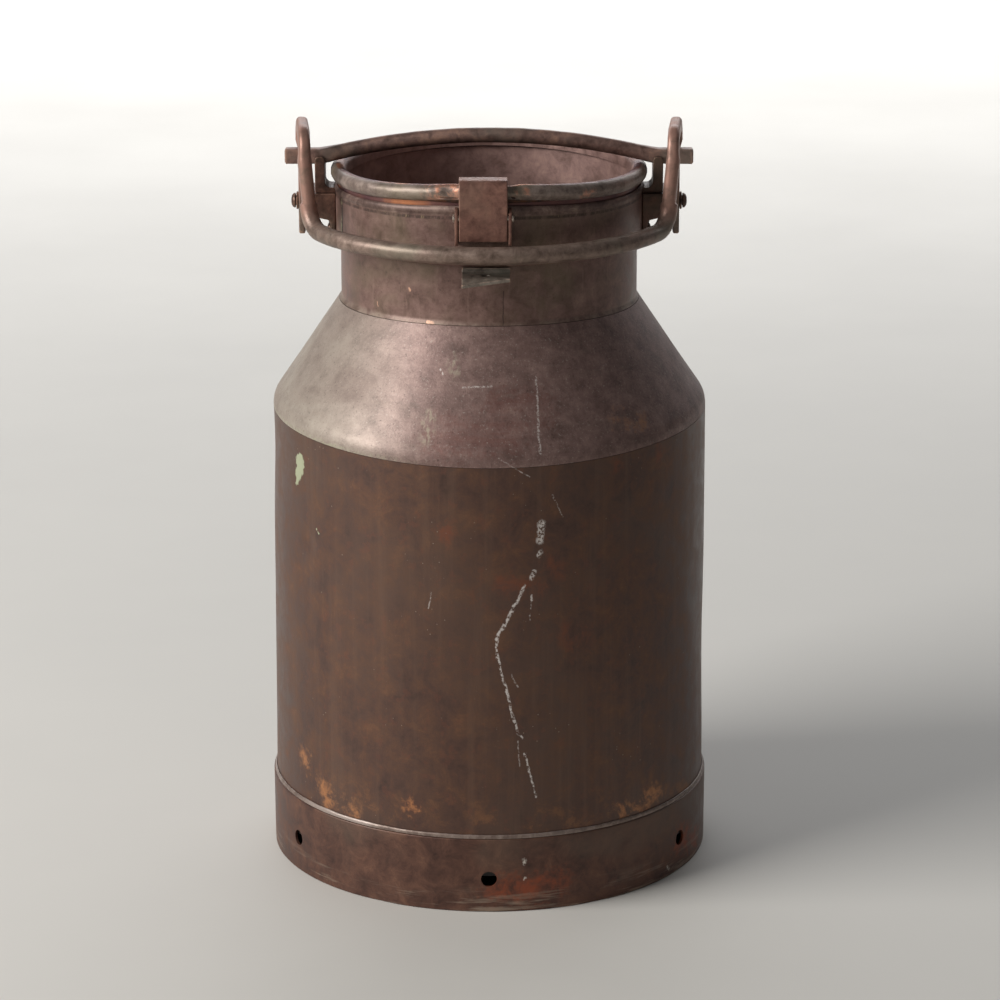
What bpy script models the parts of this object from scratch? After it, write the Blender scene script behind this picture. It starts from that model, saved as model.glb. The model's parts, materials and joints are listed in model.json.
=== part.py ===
"""Old copper milking-machine bucket, built as separate sub-parts.

The vessel is sheet copper: a foot skirt, a body, a shoulder cone and a neck with a
soldered collar and a wired mouth. Two cast ears carry the pivots of a swinging bail
handle and the saddles of a loose lid crossbar. A hooked latch strap and a drilled
seal lug sit at the front. Metres, +Z up, front at -Y, origin at the floor's centre.
"""
import math

import bmesh
import bpy
from mathutils import Matrix, Vector

# Driving dimensions.
BODY_RADIUS = 0.1522
BODY_FOOT_RADIUS = 0.1535
NECK_RADIUS = 0.1029
MOUTH_HEIGHT = 0.4955
SHEET = 0.0015
GAP = 0.0003
RING_STEPS = 40
SMALL_STEPS = 16
CUTTER_REACH = 0.012

# Foot and body.
SKIRT_HEIGHT = 0.0532
SKIRT_SHEET = 0.0018
SKIRT_INNER = BODY_FOOT_RADIUS + GAP
SOLDER_HEIGHT = 0.002
VENT_RADIUS = 0.0055
VENT_HEIGHT = 0.0242
VENT_COUNT = 6
BODY_BOTTOM = 0.026
PAN_TOP = 0.040
PAN_DISH = 0.002
PAN_FLAT_RADIUS = 0.11
PAN_CORNER_RADIUS = 0.008
SHOULDER_SEAM = 0.3195
SHOULDER_BEND = 0.3262
SHOULDER_BEND_RADIUS = 0.020
NECK_BEND = 0.4035
NECK_BEND_RADIUS = 0.005
NECK_SEAM = 0.4008

# Collar and mouth.
COLLAR_RADIUS = 0.1065
COLLAR_SHEET = SHEET - GAP
COLLAR_BOTTOM = 0.443
COLLAR_WALL_TOP = 0.4758
COLLAR_CORNER_RADIUS = 0.0024
COLLAR_ROLL_CENTRE = Vector((0.1037, 0.0, 0.4788))
COLLAR_ROLL_RADIUS = 0.0034
LIP_CLEARANCE = 0.004
BEAD_RADIUS = 0.0055
BEAD_SHEET = 0.0013
BEAD_CENTRE = Vector((0.1041, 0.0, MOUTH_HEIGHT - BEAD_RADIUS))
SLEEVE_BOTTOM = 0.467
NECK_TOP = 0.4842

# Ears, saddles and pivots; the right side's X, mirrored for the left.
PIVOT_Y = 0.0126
PIVOT_Z = 0.4642
PIVOT_TIP = 0.1378
PIVOT_ROOT = 0.1137
PIVOT_SHANK_RADIUS = 0.0034
PIVOT_HEAD_RADIUS = 0.0052
WASHER_RADIUS = 0.0062
WASHER_THICKNESS = 0.0013
EAR_OUTER = 0.1274
EAR_TOP = 0.4740
EAR_ARM_HEIGHT = 0.0150
EAR_DEPTH = 0.040
EAR_CENTRE_Y = 0.006
EAR_TAB_BOTTOM = 0.4438
EAR_TAB_FACE = 0.1097
EAR_SLOPE = 0.0035
EAR_ROOT_DEPTH = 0.006
EAR_EDGE = 0.0015
EAR_SOCKET_DEPTH = 0.015
EAR_RIVET_HEIGHT = 0.4485
EAR_RIVET_SPREAD = 0.013
EAR_RIVET_RADIUS = 0.0024
EAR_RIVET_HEAD_RADIUS = 0.0042
EAR_RIVET_DOME = 0.0022
SADDLE_X = 0.1166
SADDLE_WIDTH = 0.007
SADDLE_DEPTH = 0.0216
SADDLE_FOOT_END = 0.105
SADDLE_FOOT_HEIGHT = 0.0036
SADDLE_FOOT_CURVE = 0.004
SADDLE_CORNER = 0.0025
SADDLE_HORN = 0.001
SADDLE_SLOT_DEPTH = 0.020

# Crossbar.
BAR_END_Z = 0.4982
BAR_HALF_LENGTH = 0.1410
BAR_END_SIZE = 0.0108
BAR_END_LENGTH = 0.026
BAR_TIP_LENGTH = 0.0015
BAR_TIP_SHARE = 0.8
BAR_NECK_LENGTH = 0.004
BAR_DIAMETER = 0.0106
BAR_KINK_X = 0.1018
BAR_KINK_Z = 0.5012
BAR_ARCH_Z = 0.5128

# Bail handle.
STRAP_X = 0.1302
STRAP_THICKNESS = 0.0046
STRAP_WIDTH = 0.0130
STRAP_BOTTOM = 0.4414
STRAP_STRAIGHT_TOP = 0.5020
LOOP_TOP = 0.5199
LOOP_WIDTH = 0.0084
LOOP_HEIGHT = 0.0104
LOOP_CORNER_RADIUS = 0.0125
LEG_Y = -0.0415
LEG_WIDTH = 0.0097
LEG_DEPTH = 0.0125
LEG_TOP_X = 0.1254
LEG_TOP_Z = 0.5030
LEG_BOTTOM_X = 0.1229
LEG_BOTTOM_Z = 0.4740
BOW_RADIUS = 0.1270
BOW_Z = 0.4556
BOW_DIAMETER = 0.0122
BOW_CORNER_RADIUS = 0.017
BOW_BEND_DEGREES = 9

# Front latch and seal lug.
LATCH_X = -0.0035
LATCH_WIDTH = 0.0324
LATCH_SHEET = 0.0022
LATCH_Y = -0.1131
LATCH_BOTTOM = 0.4622
LATCH_TOP = 0.5019
LATCH_TIP_Y = -0.0972
LATCH_BEND_RADIUS = 0.006
LATCH_PIN_Y = -0.1112
LATCH_PIN_Z = 0.4777
LATCH_PIN_RADIUS = 0.0020
LATCH_PIN_HEAD_RADIUS = 0.0029
LATCH_PIN_HEAD = 0.0014
KNUCKLE_RADIUS = 0.0036
CHEEK_THICKNESS = 0.0022
CHEEK_FACE_Y = -0.1140
CHEEK_BOTTOM = 0.4590
CHEEK_TOP = 0.4838
CHEEK_FOOT_CURVE = 0.002
CHEEK_TOP_CURVE = 0.005
LUG_X = -0.0017
LUG_WIDTH = 0.0324
LUG_SHEET = 0.0026
LUG_TOP = COLLAR_BOTTOM - GAP
LUG_PLATE_Z = 0.4385
LUG_TIP_Y = -0.1290
LUG_TIP_Z = 0.4373
LUG_TILT = 0.0045
LUG_BEND_RADIUS = 0.003
LUG_HOLE_Y = -0.1165
LUG_HOLE_RADIUS = 0.0027

ONTO_XZ = Matrix.Rotation(math.radians(90), 4, "X")
ONTO_YZ = Matrix.Rotation(math.radians(90), 4, "Z") @ ONTO_XZ
ALONG_X = Matrix.Rotation(math.radians(90), 4, "Y")


def clear_scene():
    for old_object in list(bpy.data.objects):
        bpy.data.objects.remove(old_object, do_unlink=True)


def make_collection(name):
    collection = bpy.data.collections.new(name)
    bpy.context.scene.collection.children.link(collection)
    return collection


def metal(name, colour, roughness):
    material = bpy.data.materials.new(name)
    material.use_nodes = True
    shader = material.node_tree.nodes["Principled BSDF"]
    shader.inputs["Base Color"].default_value = (*colour, 1.0)
    shader.inputs["Metallic"].default_value = 0.9
    shader.inputs["Roughness"].default_value = roughness
    return material


clear_scene()
PARTS = make_collection("milking_machine")
CUTTERS = make_collection("cutters")


def place(name, mesh, colour, roughness=0.5):
    """Link a mesh as a named sub-part with a material of its own."""
    part = bpy.data.objects.new(name, mesh)
    mesh.materials.append(metal(name + "_metal", colour, roughness))
    mesh.shade_smooth()
    mesh.set_sharp_from_angle(angle=math.radians(35))
    PARTS.objects.link(part)
    return part


def as_cutter(cutter):
    for collection in list(cutter.users_collection):
        collection.objects.unlink(cutter)
    CUTTERS.objects.link(cutter)
    cutter.hide_render = True
    cutter.display_type = "WIRE"
    return cutter


def cut(part, cutter):
    boolean = part.modifiers.new(cutter.name, "BOOLEAN")
    boolean.operation = "DIFFERENCE"
    boolean.solver = "EXACT"
    boolean.object = cutter


def add_screw(part, steps):
    screw = part.modifiers.new("turned", "SCREW")
    screw.axis = "Z"
    screw.angle = math.tau
    screw.steps = steps
    screw.render_steps = steps
    screw.use_merge_vertices = True
    screw.merge_threshold = 0.00001


def profile_mesh(name, points, closed):
    """A chain of edges in the XZ plane, running down its outer side."""
    edges = [(index, index + 1) for index in range(len(points) - 1)]
    if closed:
        edges.append((len(points) - 1, 0))
    mesh = bpy.data.meshes.new(name)
    mesh.from_pydata([tuple(point) for point in points], edges, [])
    return mesh


def turned(name, points, colour, closed=True, steps=RING_STEPS, roughness=0.5):
    part = place(name, profile_mesh(name, points, closed), colour, roughness)
    add_screw(part, steps)
    return part


def turned_cutter(name, points, closed=False, steps=RING_STEPS):
    cutter = bpy.data.objects.new(name, profile_mesh(name, points, closed))
    CUTTERS.objects.link(cutter)
    add_screw(cutter, steps)
    return as_cutter(cutter)


def round_cutter(name, radius, length, centre, turn=Matrix.Identity(4)):
    """A cylinder cutter centred on a point, its axis turned from +Z."""
    mesh = bpy.data.meshes.new(name)
    shape = bmesh.new()
    bmesh.ops.create_cone(shape, cap_ends=True, segments=SMALL_STEPS,
                          radius1=radius, radius2=radius, depth=length)
    shape.to_mesh(mesh)
    shape.free()
    cutter = bpy.data.objects.new(name, mesh)
    cutter.matrix_world = Matrix.Translation(centre) @ turn
    CUTTERS.objects.link(cutter)
    return as_cutter(cutter)


def box_cutter(name, size, centre):
    mesh = bpy.data.meshes.new(name)
    shape = bmesh.new()
    bmesh.ops.create_cube(shape, size=1.0)
    bmesh.ops.scale(shape, vec=size, verts=shape.verts)
    shape.to_mesh(mesh)
    shape.free()
    cutter = bpy.data.objects.new(name, mesh)
    cutter.location = centre
    CUTTERS.objects.link(cutter)
    return as_cutter(cutter)


def arc(centre, radius, start, end, steps):
    """Points on an arc in the XZ plane; angles in degrees from +X towards +Z."""
    points = []
    for step in range(steps + 1):
        angle = math.radians(start + (end - start) * step / steps)
        points.append(centre + Vector((radius * math.cos(angle), 0.0, radius * math.sin(angle))))
    return points


def flat(x, z):
    return Vector((x, 0.0, z))


def rounded(points, radii, steps):
    """A polyline with a circular fillet at each corner whose radius isn't zero."""
    result = [points[0]]
    for before, corner, after, radius in zip(points, points[1:], points[2:], radii):
        inward = (corner - before).normalized()
        outward = (after - corner).normalized()
        turn = inward.angle(outward)
        if radius == 0.0 or turn < 0.001:
            result.append(corner)
            continue
        reach = radius * math.tan(turn / 2)
        centre = corner + (outward - inward).normalized() * (radius / math.cos(turn / 2))
        first_spoke = (corner - inward * reach - centre).normalized()
        last_spoke = (corner + outward * reach - centre).normalized()
        for step in range(steps + 1):
            result.append(centre + first_spoke.slerp(last_spoke, step / steps) * radius)
    result.append(points[-1])
    return result


def offset(points, distance):
    """The parallel chain on the left of a chain in the XZ plane, with mitred corners."""
    result = []
    for index, point in enumerate(points):
        before = points[max(index - 1, 0)]
        after = points[min(index + 1, len(points) - 1)]
        inward = (point - before).normalized() if index > 0 else (after - point).normalized()
        outward = (after - point).normalized() if index < len(points) - 1 else inward
        normal_in = flat(-inward.z, inward.x)
        normal_out = flat(-outward.z, outward.x)
        mitre = (normal_in + normal_out).normalized()
        result.append(point + mitre * (distance / mitre.dot(normal_in)))
    return result


def sheet_loop(outer, thickness):
    """The closed section of a sheet: its outer side down, then its inner side up."""
    return outer + list(reversed(offset(outer, -thickness)))


def extruded(name, outlines, width, turn, centre, colour, roughness=0.5):
    """A flat outline, with any holes, made solid across its width and set in place."""
    curve = bpy.data.curves.new(name, "CURVE")
    curve.dimensions = "2D"
    curve.fill_mode = "BOTH"
    curve.extrude = width / 2
    for outline in outlines:
        spline = curve.splines.new("POLY")
        spline.points.add(len(outline) - 1)
        for spline_point, point in zip(spline.points, outline):
            spline_point.co = (point[0], point[1], 0.0, 1.0)
        spline.use_cyclic_u = True
    guide = bpy.data.objects.new(name + "_outline", curve)
    CUTTERS.objects.link(guide)
    guide.matrix_world = Matrix.Translation(centre) @ turn
    bpy.context.view_layer.update()
    evaluated = guide.evaluated_get(bpy.context.evaluated_depsgraph_get())
    mesh = bpy.data.meshes.new_from_object(evaluated)
    mesh.name = name
    shape = bmesh.new()
    shape.from_mesh(mesh)
    bmesh.ops.remove_doubles(shape, verts=shape.verts, dist=0.000001)
    bmesh.ops.recalc_face_normals(shape, faces=shape.faces)
    shape.to_mesh(mesh)
    shape.free()
    mesh.materials.clear()
    part = place(name, mesh, colour, roughness)
    part.matrix_world = guide.matrix_world
    bpy.data.objects.remove(guide, do_unlink=True)
    return part


def circle(centre_x, centre_y, radius, count=SMALL_STEPS):
    angles = [math.tau * index / count for index in range(count)]
    return [(centre_x + radius * math.cos(angle), centre_y + radius * math.sin(angle)) for angle in angles]


def section_ring(centre, side, across, size, squareness, count=12):
    """A superellipse around a point: 2 is round, larger is squarer."""
    ring = []
    for index in range(count):
        angle = math.tau * (index + 0.5) / count
        power = 2 / squareness
        along_side = math.copysign(abs(math.cos(angle)) ** power, math.cos(angle)) * size[0] / 2
        along_across = math.copysign(abs(math.sin(angle)) ** power, math.sin(angle)) * size[1] / 2
        ring.append(centre + side * along_side + across * along_across)
    return ring


def forged_bar(name, stations, first_side, colour, roughness=0.5):
    """A loft along a path whose section changes from round to flat.

    Each station is (point, (side size, across size), squareness). The section's side
    direction is carried along the path without twist.
    """
    shape = bmesh.new()
    side = first_side.copy()
    rings = []
    for index, (point, size, squareness) in enumerate(stations):
        before = stations[max(index - 1, 0)][0]
        after = stations[min(index + 1, len(stations) - 1)][0]
        tangent = ((point - before).normalized() + (after - point).normalized()).normalized()
        side = (side - tangent * side.dot(tangent)).normalized()
        across = tangent.cross(side)
        ring = section_ring(point, side, across, size, squareness)
        rings.append([shape.verts.new(corner) for corner in ring])
    for ring, next_ring in zip(rings, rings[1:]):
        for index in range(len(ring)):
            following = (index + 1) % len(ring)
            shape.faces.new((ring[index], ring[following], next_ring[following], next_ring[index]))
    shape.faces.new(list(reversed(rings[0])))
    shape.faces.new(rings[-1])
    bmesh.ops.recalc_face_normals(shape, faces=shape.faces)
    mesh = bpy.data.meshes.new(name)
    shape.to_mesh(mesh)
    shape.free()
    return place(name, mesh, colour, roughness)


def with_mirror(half):
    """The right half's stations and their mirror images, sharing the middle one."""
    mirrored = [(Vector((-point.x, point.y, point.z)), size, squareness)
                for point, size, squareness in reversed(half[:-1])]
    return half + mirrored


# Foot and body.
def vent_cutters():
    cutters = []
    for index in range(VENT_COUNT):
        angle = math.tau * index / VENT_COUNT - math.pi / 2
        centre = Vector((SKIRT_INNER * math.cos(angle), SKIRT_INNER * math.sin(angle), VENT_HEIGHT))
        turn = Matrix.Rotation(angle, 4, "Z") @ ALONG_X
        cutters.append(round_cutter(f"vent_cutter_{index}", VENT_RADIUS, CUTTER_REACH, centre, turn))
    return cutters


def foot_skirt():
    outer = SKIRT_INNER + SKIRT_SHEET
    side = [flat(outer, SKIRT_HEIGHT), flat(outer, 0.0)]
    skirt = turned("foot_skirt", sheet_loop(side, SKIRT_SHEET), (0.20, 0.11, 0.08))
    for cutter in vent_cutters():
        cut(skirt, cutter)


def foot_solder_seam():
    """The soldered fillet that closes the skirt's top edge against the body."""
    outer = SKIRT_INNER + SKIRT_SHEET
    foot = SKIRT_HEIGHT + GAP
    corners = [flat(SKIRT_INNER, foot + SOLDER_HEIGHT), flat(outer, foot), flat(SKIRT_INNER, foot)]
    turned("foot_solder_seam", corners, (0.42, 0.34, 0.28))


def bottom_pan():
    """A flanged disc that closes the body, a little dished, its flange turned down."""
    rim = BODY_FOOT_RADIUS - SHEET - 2 * GAP
    top = [
        flat(0.0, PAN_TOP + PAN_DISH),
        flat(PAN_FLAT_RADIUS, PAN_TOP),
        flat(rim, PAN_TOP),
        flat(rim, BODY_BOTTOM + PAN_DISH),
    ]
    top = rounded(top, [0.0, PAN_CORNER_RADIUS], 3)
    under = list(reversed(offset(top, -SHEET)))
    under[-1].x = 0.0
    turned("bottom_pan", top + under, (0.30, 0.20, 0.16), closed=False)


def body_shell():
    side = [flat(BODY_RADIUS, SHOULDER_SEAM), flat(BODY_FOOT_RADIUS, BODY_BOTTOM)]
    turned("body_shell", sheet_loop(side, SHEET), (0.22, 0.11, 0.07))


def neck_seam_radius():
    """The cone's radius where the neck's flared foot meets it."""
    slope = (BODY_RADIUS - NECK_RADIUS) / (NECK_BEND - SHOULDER_BEND)
    return NECK_RADIUS + slope * (NECK_BEND - NECK_SEAM)


def shoulder_cone():
    corners = [
        flat(neck_seam_radius(), NECK_SEAM),
        flat(BODY_RADIUS, SHOULDER_BEND),
        flat(BODY_RADIUS, SHOULDER_SEAM + GAP),
    ]
    side = rounded(corners, [SHOULDER_BEND_RADIUS], 3)
    turned("shoulder_cone", sheet_loop(side, SHEET), (0.24, 0.15, 0.12))


# Neck, collar and mouth.
def ear_rivet_centres(side):
    return [(side * NECK_RADIUS, EAR_CENTRE_Y + shift, EAR_RIVET_HEIGHT)
            for shift in (-EAR_RIVET_SPREAD, EAR_RIVET_SPREAD)]


def rivet_hole_cutters():
    cutters = []
    for side in (-1, 1):
        for index, centre in enumerate(ear_rivet_centres(side)):
            name = f"rivet_hole_{side}_{index}"
            cutters.append(round_cutter(name, EAR_RIVET_RADIUS + GAP, 2 * CUTTER_REACH, centre, ALONG_X))
    return cutters


def neck_tube(holes):
    corners = [
        flat(NECK_RADIUS, NECK_TOP),
        flat(NECK_RADIUS, NECK_BEND),
        flat(neck_seam_radius() - GAP, NECK_SEAM + GAP),
    ]
    side = rounded(corners, [NECK_BEND_RADIUS], 3)
    tube = turned("neck_tube", sheet_loop(side, SHEET), (0.23, 0.14, 0.10))
    for hole in holes:
        cut(tube, hole)


def collar_side():
    """The collar's outer side: a rolled lip, the wall and a turned-in lower edge."""
    roll = arc(COLLAR_ROLL_CENTRE, COLLAR_ROLL_RADIUS, 58, -30, 4)
    lower = [
        flat(COLLAR_RADIUS, COLLAR_WALL_TOP),
        flat(COLLAR_RADIUS, COLLAR_BOTTOM),
        flat(NECK_RADIUS + 2 * GAP, COLLAR_BOTTOM),
    ]
    return roll + rounded(lower, [COLLAR_CORNER_RADIUS], 2)


def neck_collar(holes):
    collar = turned("neck_collar", sheet_loop(collar_side(), COLLAR_SHEET), (0.22, 0.13, 0.10))
    for hole in holes:
        cut(collar, hole)


def collar_clearance():
    """A cutter that fits whatever is fixed to the collar against its outer side."""
    side = offset(collar_side(), GAP)
    inner = NECK_RADIUS - CUTTER_REACH
    above = side[0].z + LIP_CLEARANCE
    below = COLLAR_BOTTOM - CUTTER_REACH
    top = [flat(inner, above), flat(side[0].x, above)]
    foot = [flat(side[-1].x, below), flat(inner, below)]
    return turned_cutter("collar_clearance", top + side + foot, closed=True)


def mouth_ring():
    """A sleeve on the neck, stepped in over its end and curled round the mouth's wire."""
    middle = BEAD_RADIUS - BEAD_SHEET / 2
    sleeve = NECK_RADIUS + GAP + BEAD_SHEET / 2
    step = NECK_TOP + GAP + BEAD_SHEET / 2
    curl = arc(BEAD_CENTRE, middle, -85, 180, 10)
    inner = curl[-1].x
    chain = curl + [flat(inner, step + BEAD_SHEET / 2), flat(sleeve, step), flat(sleeve, SLEEVE_BOTTOM)]
    loop = offset(chain, -BEAD_SHEET / 2) + list(reversed(offset(chain, BEAD_SHEET / 2)))
    turned("mouth_ring", list(reversed(loop)), (0.30, 0.19, 0.15))


def mouth_wire():
    radius = BEAD_RADIUS - BEAD_SHEET - GAP
    turned("mouth_wire", arc(BEAD_CENTRE, radius, 90, -225, 7), (0.25, 0.22, 0.20))


# Ears, saddles and pivots.
def ear_bracket(side, label, holes, clearance):
    root = NECK_RADIUS - EAR_ROOT_DEPTH
    arm_bottom = EAR_TOP - EAR_ARM_HEIGHT
    outline = [
        (side * root, EAR_TOP),
        (side * EAR_OUTER, EAR_TOP),
        (side * EAR_OUTER, arm_bottom),
        (side * (EAR_TAB_FACE + EAR_EDGE), arm_bottom - EAR_SLOPE),
        (side * EAR_TAB_FACE, arm_bottom - EAR_SLOPE - EAR_EDGE),
        (side * EAR_TAB_FACE, EAR_TAB_BOTTOM + EAR_EDGE),
        (side * (EAR_TAB_FACE - EAR_EDGE / 2), EAR_TAB_BOTTOM),
        (side * root, EAR_TAB_BOTTOM),
    ]
    centre = Vector((0.0, EAR_CENTRE_Y, 0.0))
    ear = extruded(f"ear_bracket_{label}", [outline], EAR_DEPTH, ONTO_XZ, centre, (0.21, 0.13, 0.10))
    for hole in holes:
        cut(ear, hole)
    socket_centre = Vector((side * EAR_OUTER, PIVOT_Y, PIVOT_Z))
    bore = PIVOT_SHANK_RADIUS + GAP
    socket = round_cutter(f"pivot_socket_{label}", bore, 2 * EAR_SOCKET_DEPTH, socket_centre, ALONG_X)
    cut(ear, socket)
    cut(ear, clearance)


def ear_rivet(name, side, centre):
    """A rivet through the ear's tab, the collar and the neck, headed at both ends."""
    head = EAR_RIVET_HEAD_RADIUS
    dome = EAR_RIVET_DOME
    outer_face = EAR_TAB_FACE - NECK_RADIUS + GAP
    facet_inset = math.cos(math.pi / RING_STEPS)
    bore_wall = (NECK_RADIUS - SHEET) * facet_inset
    inner_face = math.sqrt(bore_wall ** 2 - (abs(centre[1]) + head) ** 2) - NECK_RADIUS - GAP
    points = [
        flat(0.0, outer_face + dome),
        flat(head * 0.6, outer_face + dome * 0.8),
        flat(head, outer_face),
        flat(EAR_RIVET_RADIUS, outer_face),
        flat(EAR_RIVET_RADIUS, inner_face),
        flat(head, inner_face),
        flat(head * 0.7, inner_face - dome * 0.7),
        flat(0.0, inner_face - dome * 0.8),
    ]
    rivet = turned(name, points, (0.28, 0.17, 0.13), closed=False, steps=12)
    rivet.location = centre
    rivet.rotation_euler = (0.0, side * math.radians(90), 0.0)


def saddle(side, label, clearance):
    """An upright on the ear with a slot that the crossbar drops into."""
    inner = SADDLE_X - SADDLE_WIDTH / 2
    outer = SADDLE_X + SADDLE_WIDTH / 2
    floor = EAR_TOP + GAP
    corners = [
        Vector((SADDLE_FOOT_END, 0.0, floor + SADDLE_FOOT_HEIGHT)),
        Vector((inner, 0.0, floor + SADDLE_FOOT_HEIGHT)),
        Vector((inner, 0.0, BAR_END_Z + SADDLE_HORN)),
        Vector((outer, 0.0, BAR_END_Z + SADDLE_HORN)),
        Vector((outer, 0.0, floor)),
        Vector((SADDLE_FOOT_END, 0.0, floor)),
    ]
    outline = rounded(corners, [SADDLE_FOOT_CURVE, SADDLE_CORNER, SADDLE_CORNER, 0.0], 3)
    outline = [(side * point.x, point.z) for point in outline]
    name = f"crossbar_saddle_{label}"
    part = extruded(name, [outline], SADDLE_DEPTH, ONTO_XZ, Vector(), (0.19, 0.12, 0.10))
    slot_floor = BAR_END_Z - BAR_END_SIZE / 2 - 2 * GAP
    slot_size = Vector((SADDLE_SLOT_DEPTH, BAR_END_SIZE + 2 * GAP, SADDLE_SLOT_DEPTH))
    slot_centre = Vector((side * SADDLE_X, 0.0, slot_floor + slot_size.z / 2))
    cut(part, box_cutter(name + "_slot", slot_size, slot_centre))
    cut(part, clearance)


def pivot_rivet(side, label):
    head_face = STRAP_X + STRAP_THICKNESS / 2 + WASHER_THICKNESS + 3 * GAP
    dome = PIVOT_TIP - head_face
    points = [
        flat(0.0, PIVOT_TIP),
        flat(PIVOT_HEAD_RADIUS * 0.45, PIVOT_TIP - dome * 0.08),
        flat(PIVOT_HEAD_RADIUS * 0.8, PIVOT_TIP - dome * 0.45),
        flat(PIVOT_HEAD_RADIUS, head_face + GAP),
        flat(PIVOT_HEAD_RADIUS, head_face),
        flat(PIVOT_SHANK_RADIUS, head_face),
        flat(PIVOT_SHANK_RADIUS, PIVOT_ROOT),
        flat(0.0, PIVOT_ROOT),
    ]
    rivet = turned(f"pivot_rivet_{label}", points, (0.20, 0.13, 0.11), closed=False, steps=SMALL_STEPS)
    rivet.location = (0.0, PIVOT_Y, PIVOT_Z)
    rivet.rotation_euler = (0.0, side * math.radians(90), 0.0)


def pivot_washer(side, label):
    inner_face = STRAP_X + STRAP_THICKNESS / 2 + GAP
    outer_face = inner_face + WASHER_THICKNESS
    bore = PIVOT_SHANK_RADIUS + GAP
    points = [
        flat(bore, outer_face),
        flat(WASHER_RADIUS, outer_face),
        flat(WASHER_RADIUS, inner_face),
        flat(bore, inner_face),
    ]
    washer = turned(f"pivot_washer_{label}", points, (0.24, 0.16, 0.13), steps=SMALL_STEPS)
    washer.location = (0.0, PIVOT_Y, PIVOT_Z)
    washer.rotation_euler = (0.0, side * math.radians(90), 0.0)


# Crossbar and handle.
def crossbar():
    """A bar with squared ends that arches up over the mouth."""
    end = (BAR_END_SIZE, BAR_END_SIZE)
    tip = (BAR_END_SIZE * BAR_TIP_SHARE, BAR_END_SIZE * BAR_TIP_SHARE)
    rod = (BAR_DIAMETER, BAR_DIAMETER)
    rise = BAR_ARCH_Z - BAR_KINK_Z
    arch_radius = (BAR_KINK_X ** 2 + rise ** 2) / (2 * rise)
    half = [
        (Vector((BAR_HALF_LENGTH, 0.0, BAR_END_Z)), tip, 4.0),
        (Vector((BAR_HALF_LENGTH - BAR_TIP_LENGTH, 0.0, BAR_END_Z)), end, 5.0),
        (Vector((BAR_HALF_LENGTH - BAR_END_LENGTH, 0.0, BAR_END_Z)), end, 5.0),
        (Vector((BAR_HALF_LENGTH - BAR_END_LENGTH - BAR_NECK_LENGTH, 0.0, BAR_KINK_Z)), rod, 2.6),
        (Vector((BAR_KINK_X, 0.0, BAR_KINK_Z)), rod, 2.0),
    ]
    arch_steps = 6
    for step in range(1, arch_steps + 1):
        x = BAR_KINK_X * (1 - step / arch_steps)
        z = BAR_ARCH_Z - arch_radius + math.sqrt(arch_radius ** 2 - x ** 2)
        half.append((Vector((x, 0.0, z)), rod, 2.0))
    forged_bar("crossbar", with_mirror(half), Vector((0.0, 1.0, 0.0)), (0.19, 0.12, 0.10))


def bow_points(steps):
    """The bow's right half, from beside the leg to the front."""
    first = math.atan2(LEG_Y, LEG_BOTTOM_X) - math.radians(BOW_BEND_DEGREES)
    points = []
    for step in range(steps + 1):
        angle = first + (-math.pi / 2 - first) * step / steps
        points.append(Vector((BOW_RADIUS * math.cos(angle), BOW_RADIUS * math.sin(angle), BOW_Z)))
    return points


def handle_half():
    """The right half of the handle, from its pivot strap's foot to the bow's middle."""
    strap = ((STRAP_THICKNESS, STRAP_WIDTH), 8.0)
    top = ((LOOP_WIDTH, LOOP_HEIGHT), 4.0)
    leg = ((LEG_WIDTH, LEG_DEPTH), 2.6)
    rod = ((BOW_DIAMETER, BOW_DIAMETER), 2.0)
    loop = [
        (Vector((STRAP_X, PIVOT_Y, STRAP_BOTTOM)), strap, 0.0),
        (Vector((STRAP_X, PIVOT_Y, STRAP_STRAIGHT_TOP)), strap, 0.0),
        (Vector((STRAP_X, PIVOT_Y, LOOP_TOP)), top, LOOP_CORNER_RADIUS),
        (Vector((LEG_TOP_X, LEG_Y, LOOP_TOP)), top, LOOP_CORNER_RADIUS),
        (Vector((LEG_TOP_X, LEG_Y, LEG_TOP_Z)), leg, 0.0),
        (Vector((LEG_BOTTOM_X, LEG_Y, LEG_BOTTOM_Z)), leg, 0.0),
        (Vector((LEG_BOTTOM_X, LEG_Y, BOW_Z)), rod, BOW_CORNER_RADIUS),
    ]
    loop += [(point, rod, 0.0) for point in bow_points(10)]
    stations = []
    for index, (point, (size, square), radius) in enumerate(loop):
        if radius:
            fillet = rounded([loop[index - 1][0], point, loop[index + 1][0]], [radius], 5)[1:-1]
            stations += [(corner, size, square) for corner in fillet]
        else:
            stations.append((point, size, square))
    return stations


def handle_bail():
    """One forged bar: flat pivot straps, a loop round each crossbar end and a round bow."""
    bail = forged_bar("handle_bail", with_mirror(handle_half()), Vector((1.0, 0.0, 0.0)), (0.24, 0.17, 0.13))
    for side in (-1, 1):
        centre = Vector((side * STRAP_X, PIVOT_Y, PIVOT_Z))
        cut(bail, round_cutter(f"pivot_eye_{side}", PIVOT_SHANK_RADIUS + GAP, CUTTER_REACH, centre, ALONG_X))


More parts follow.
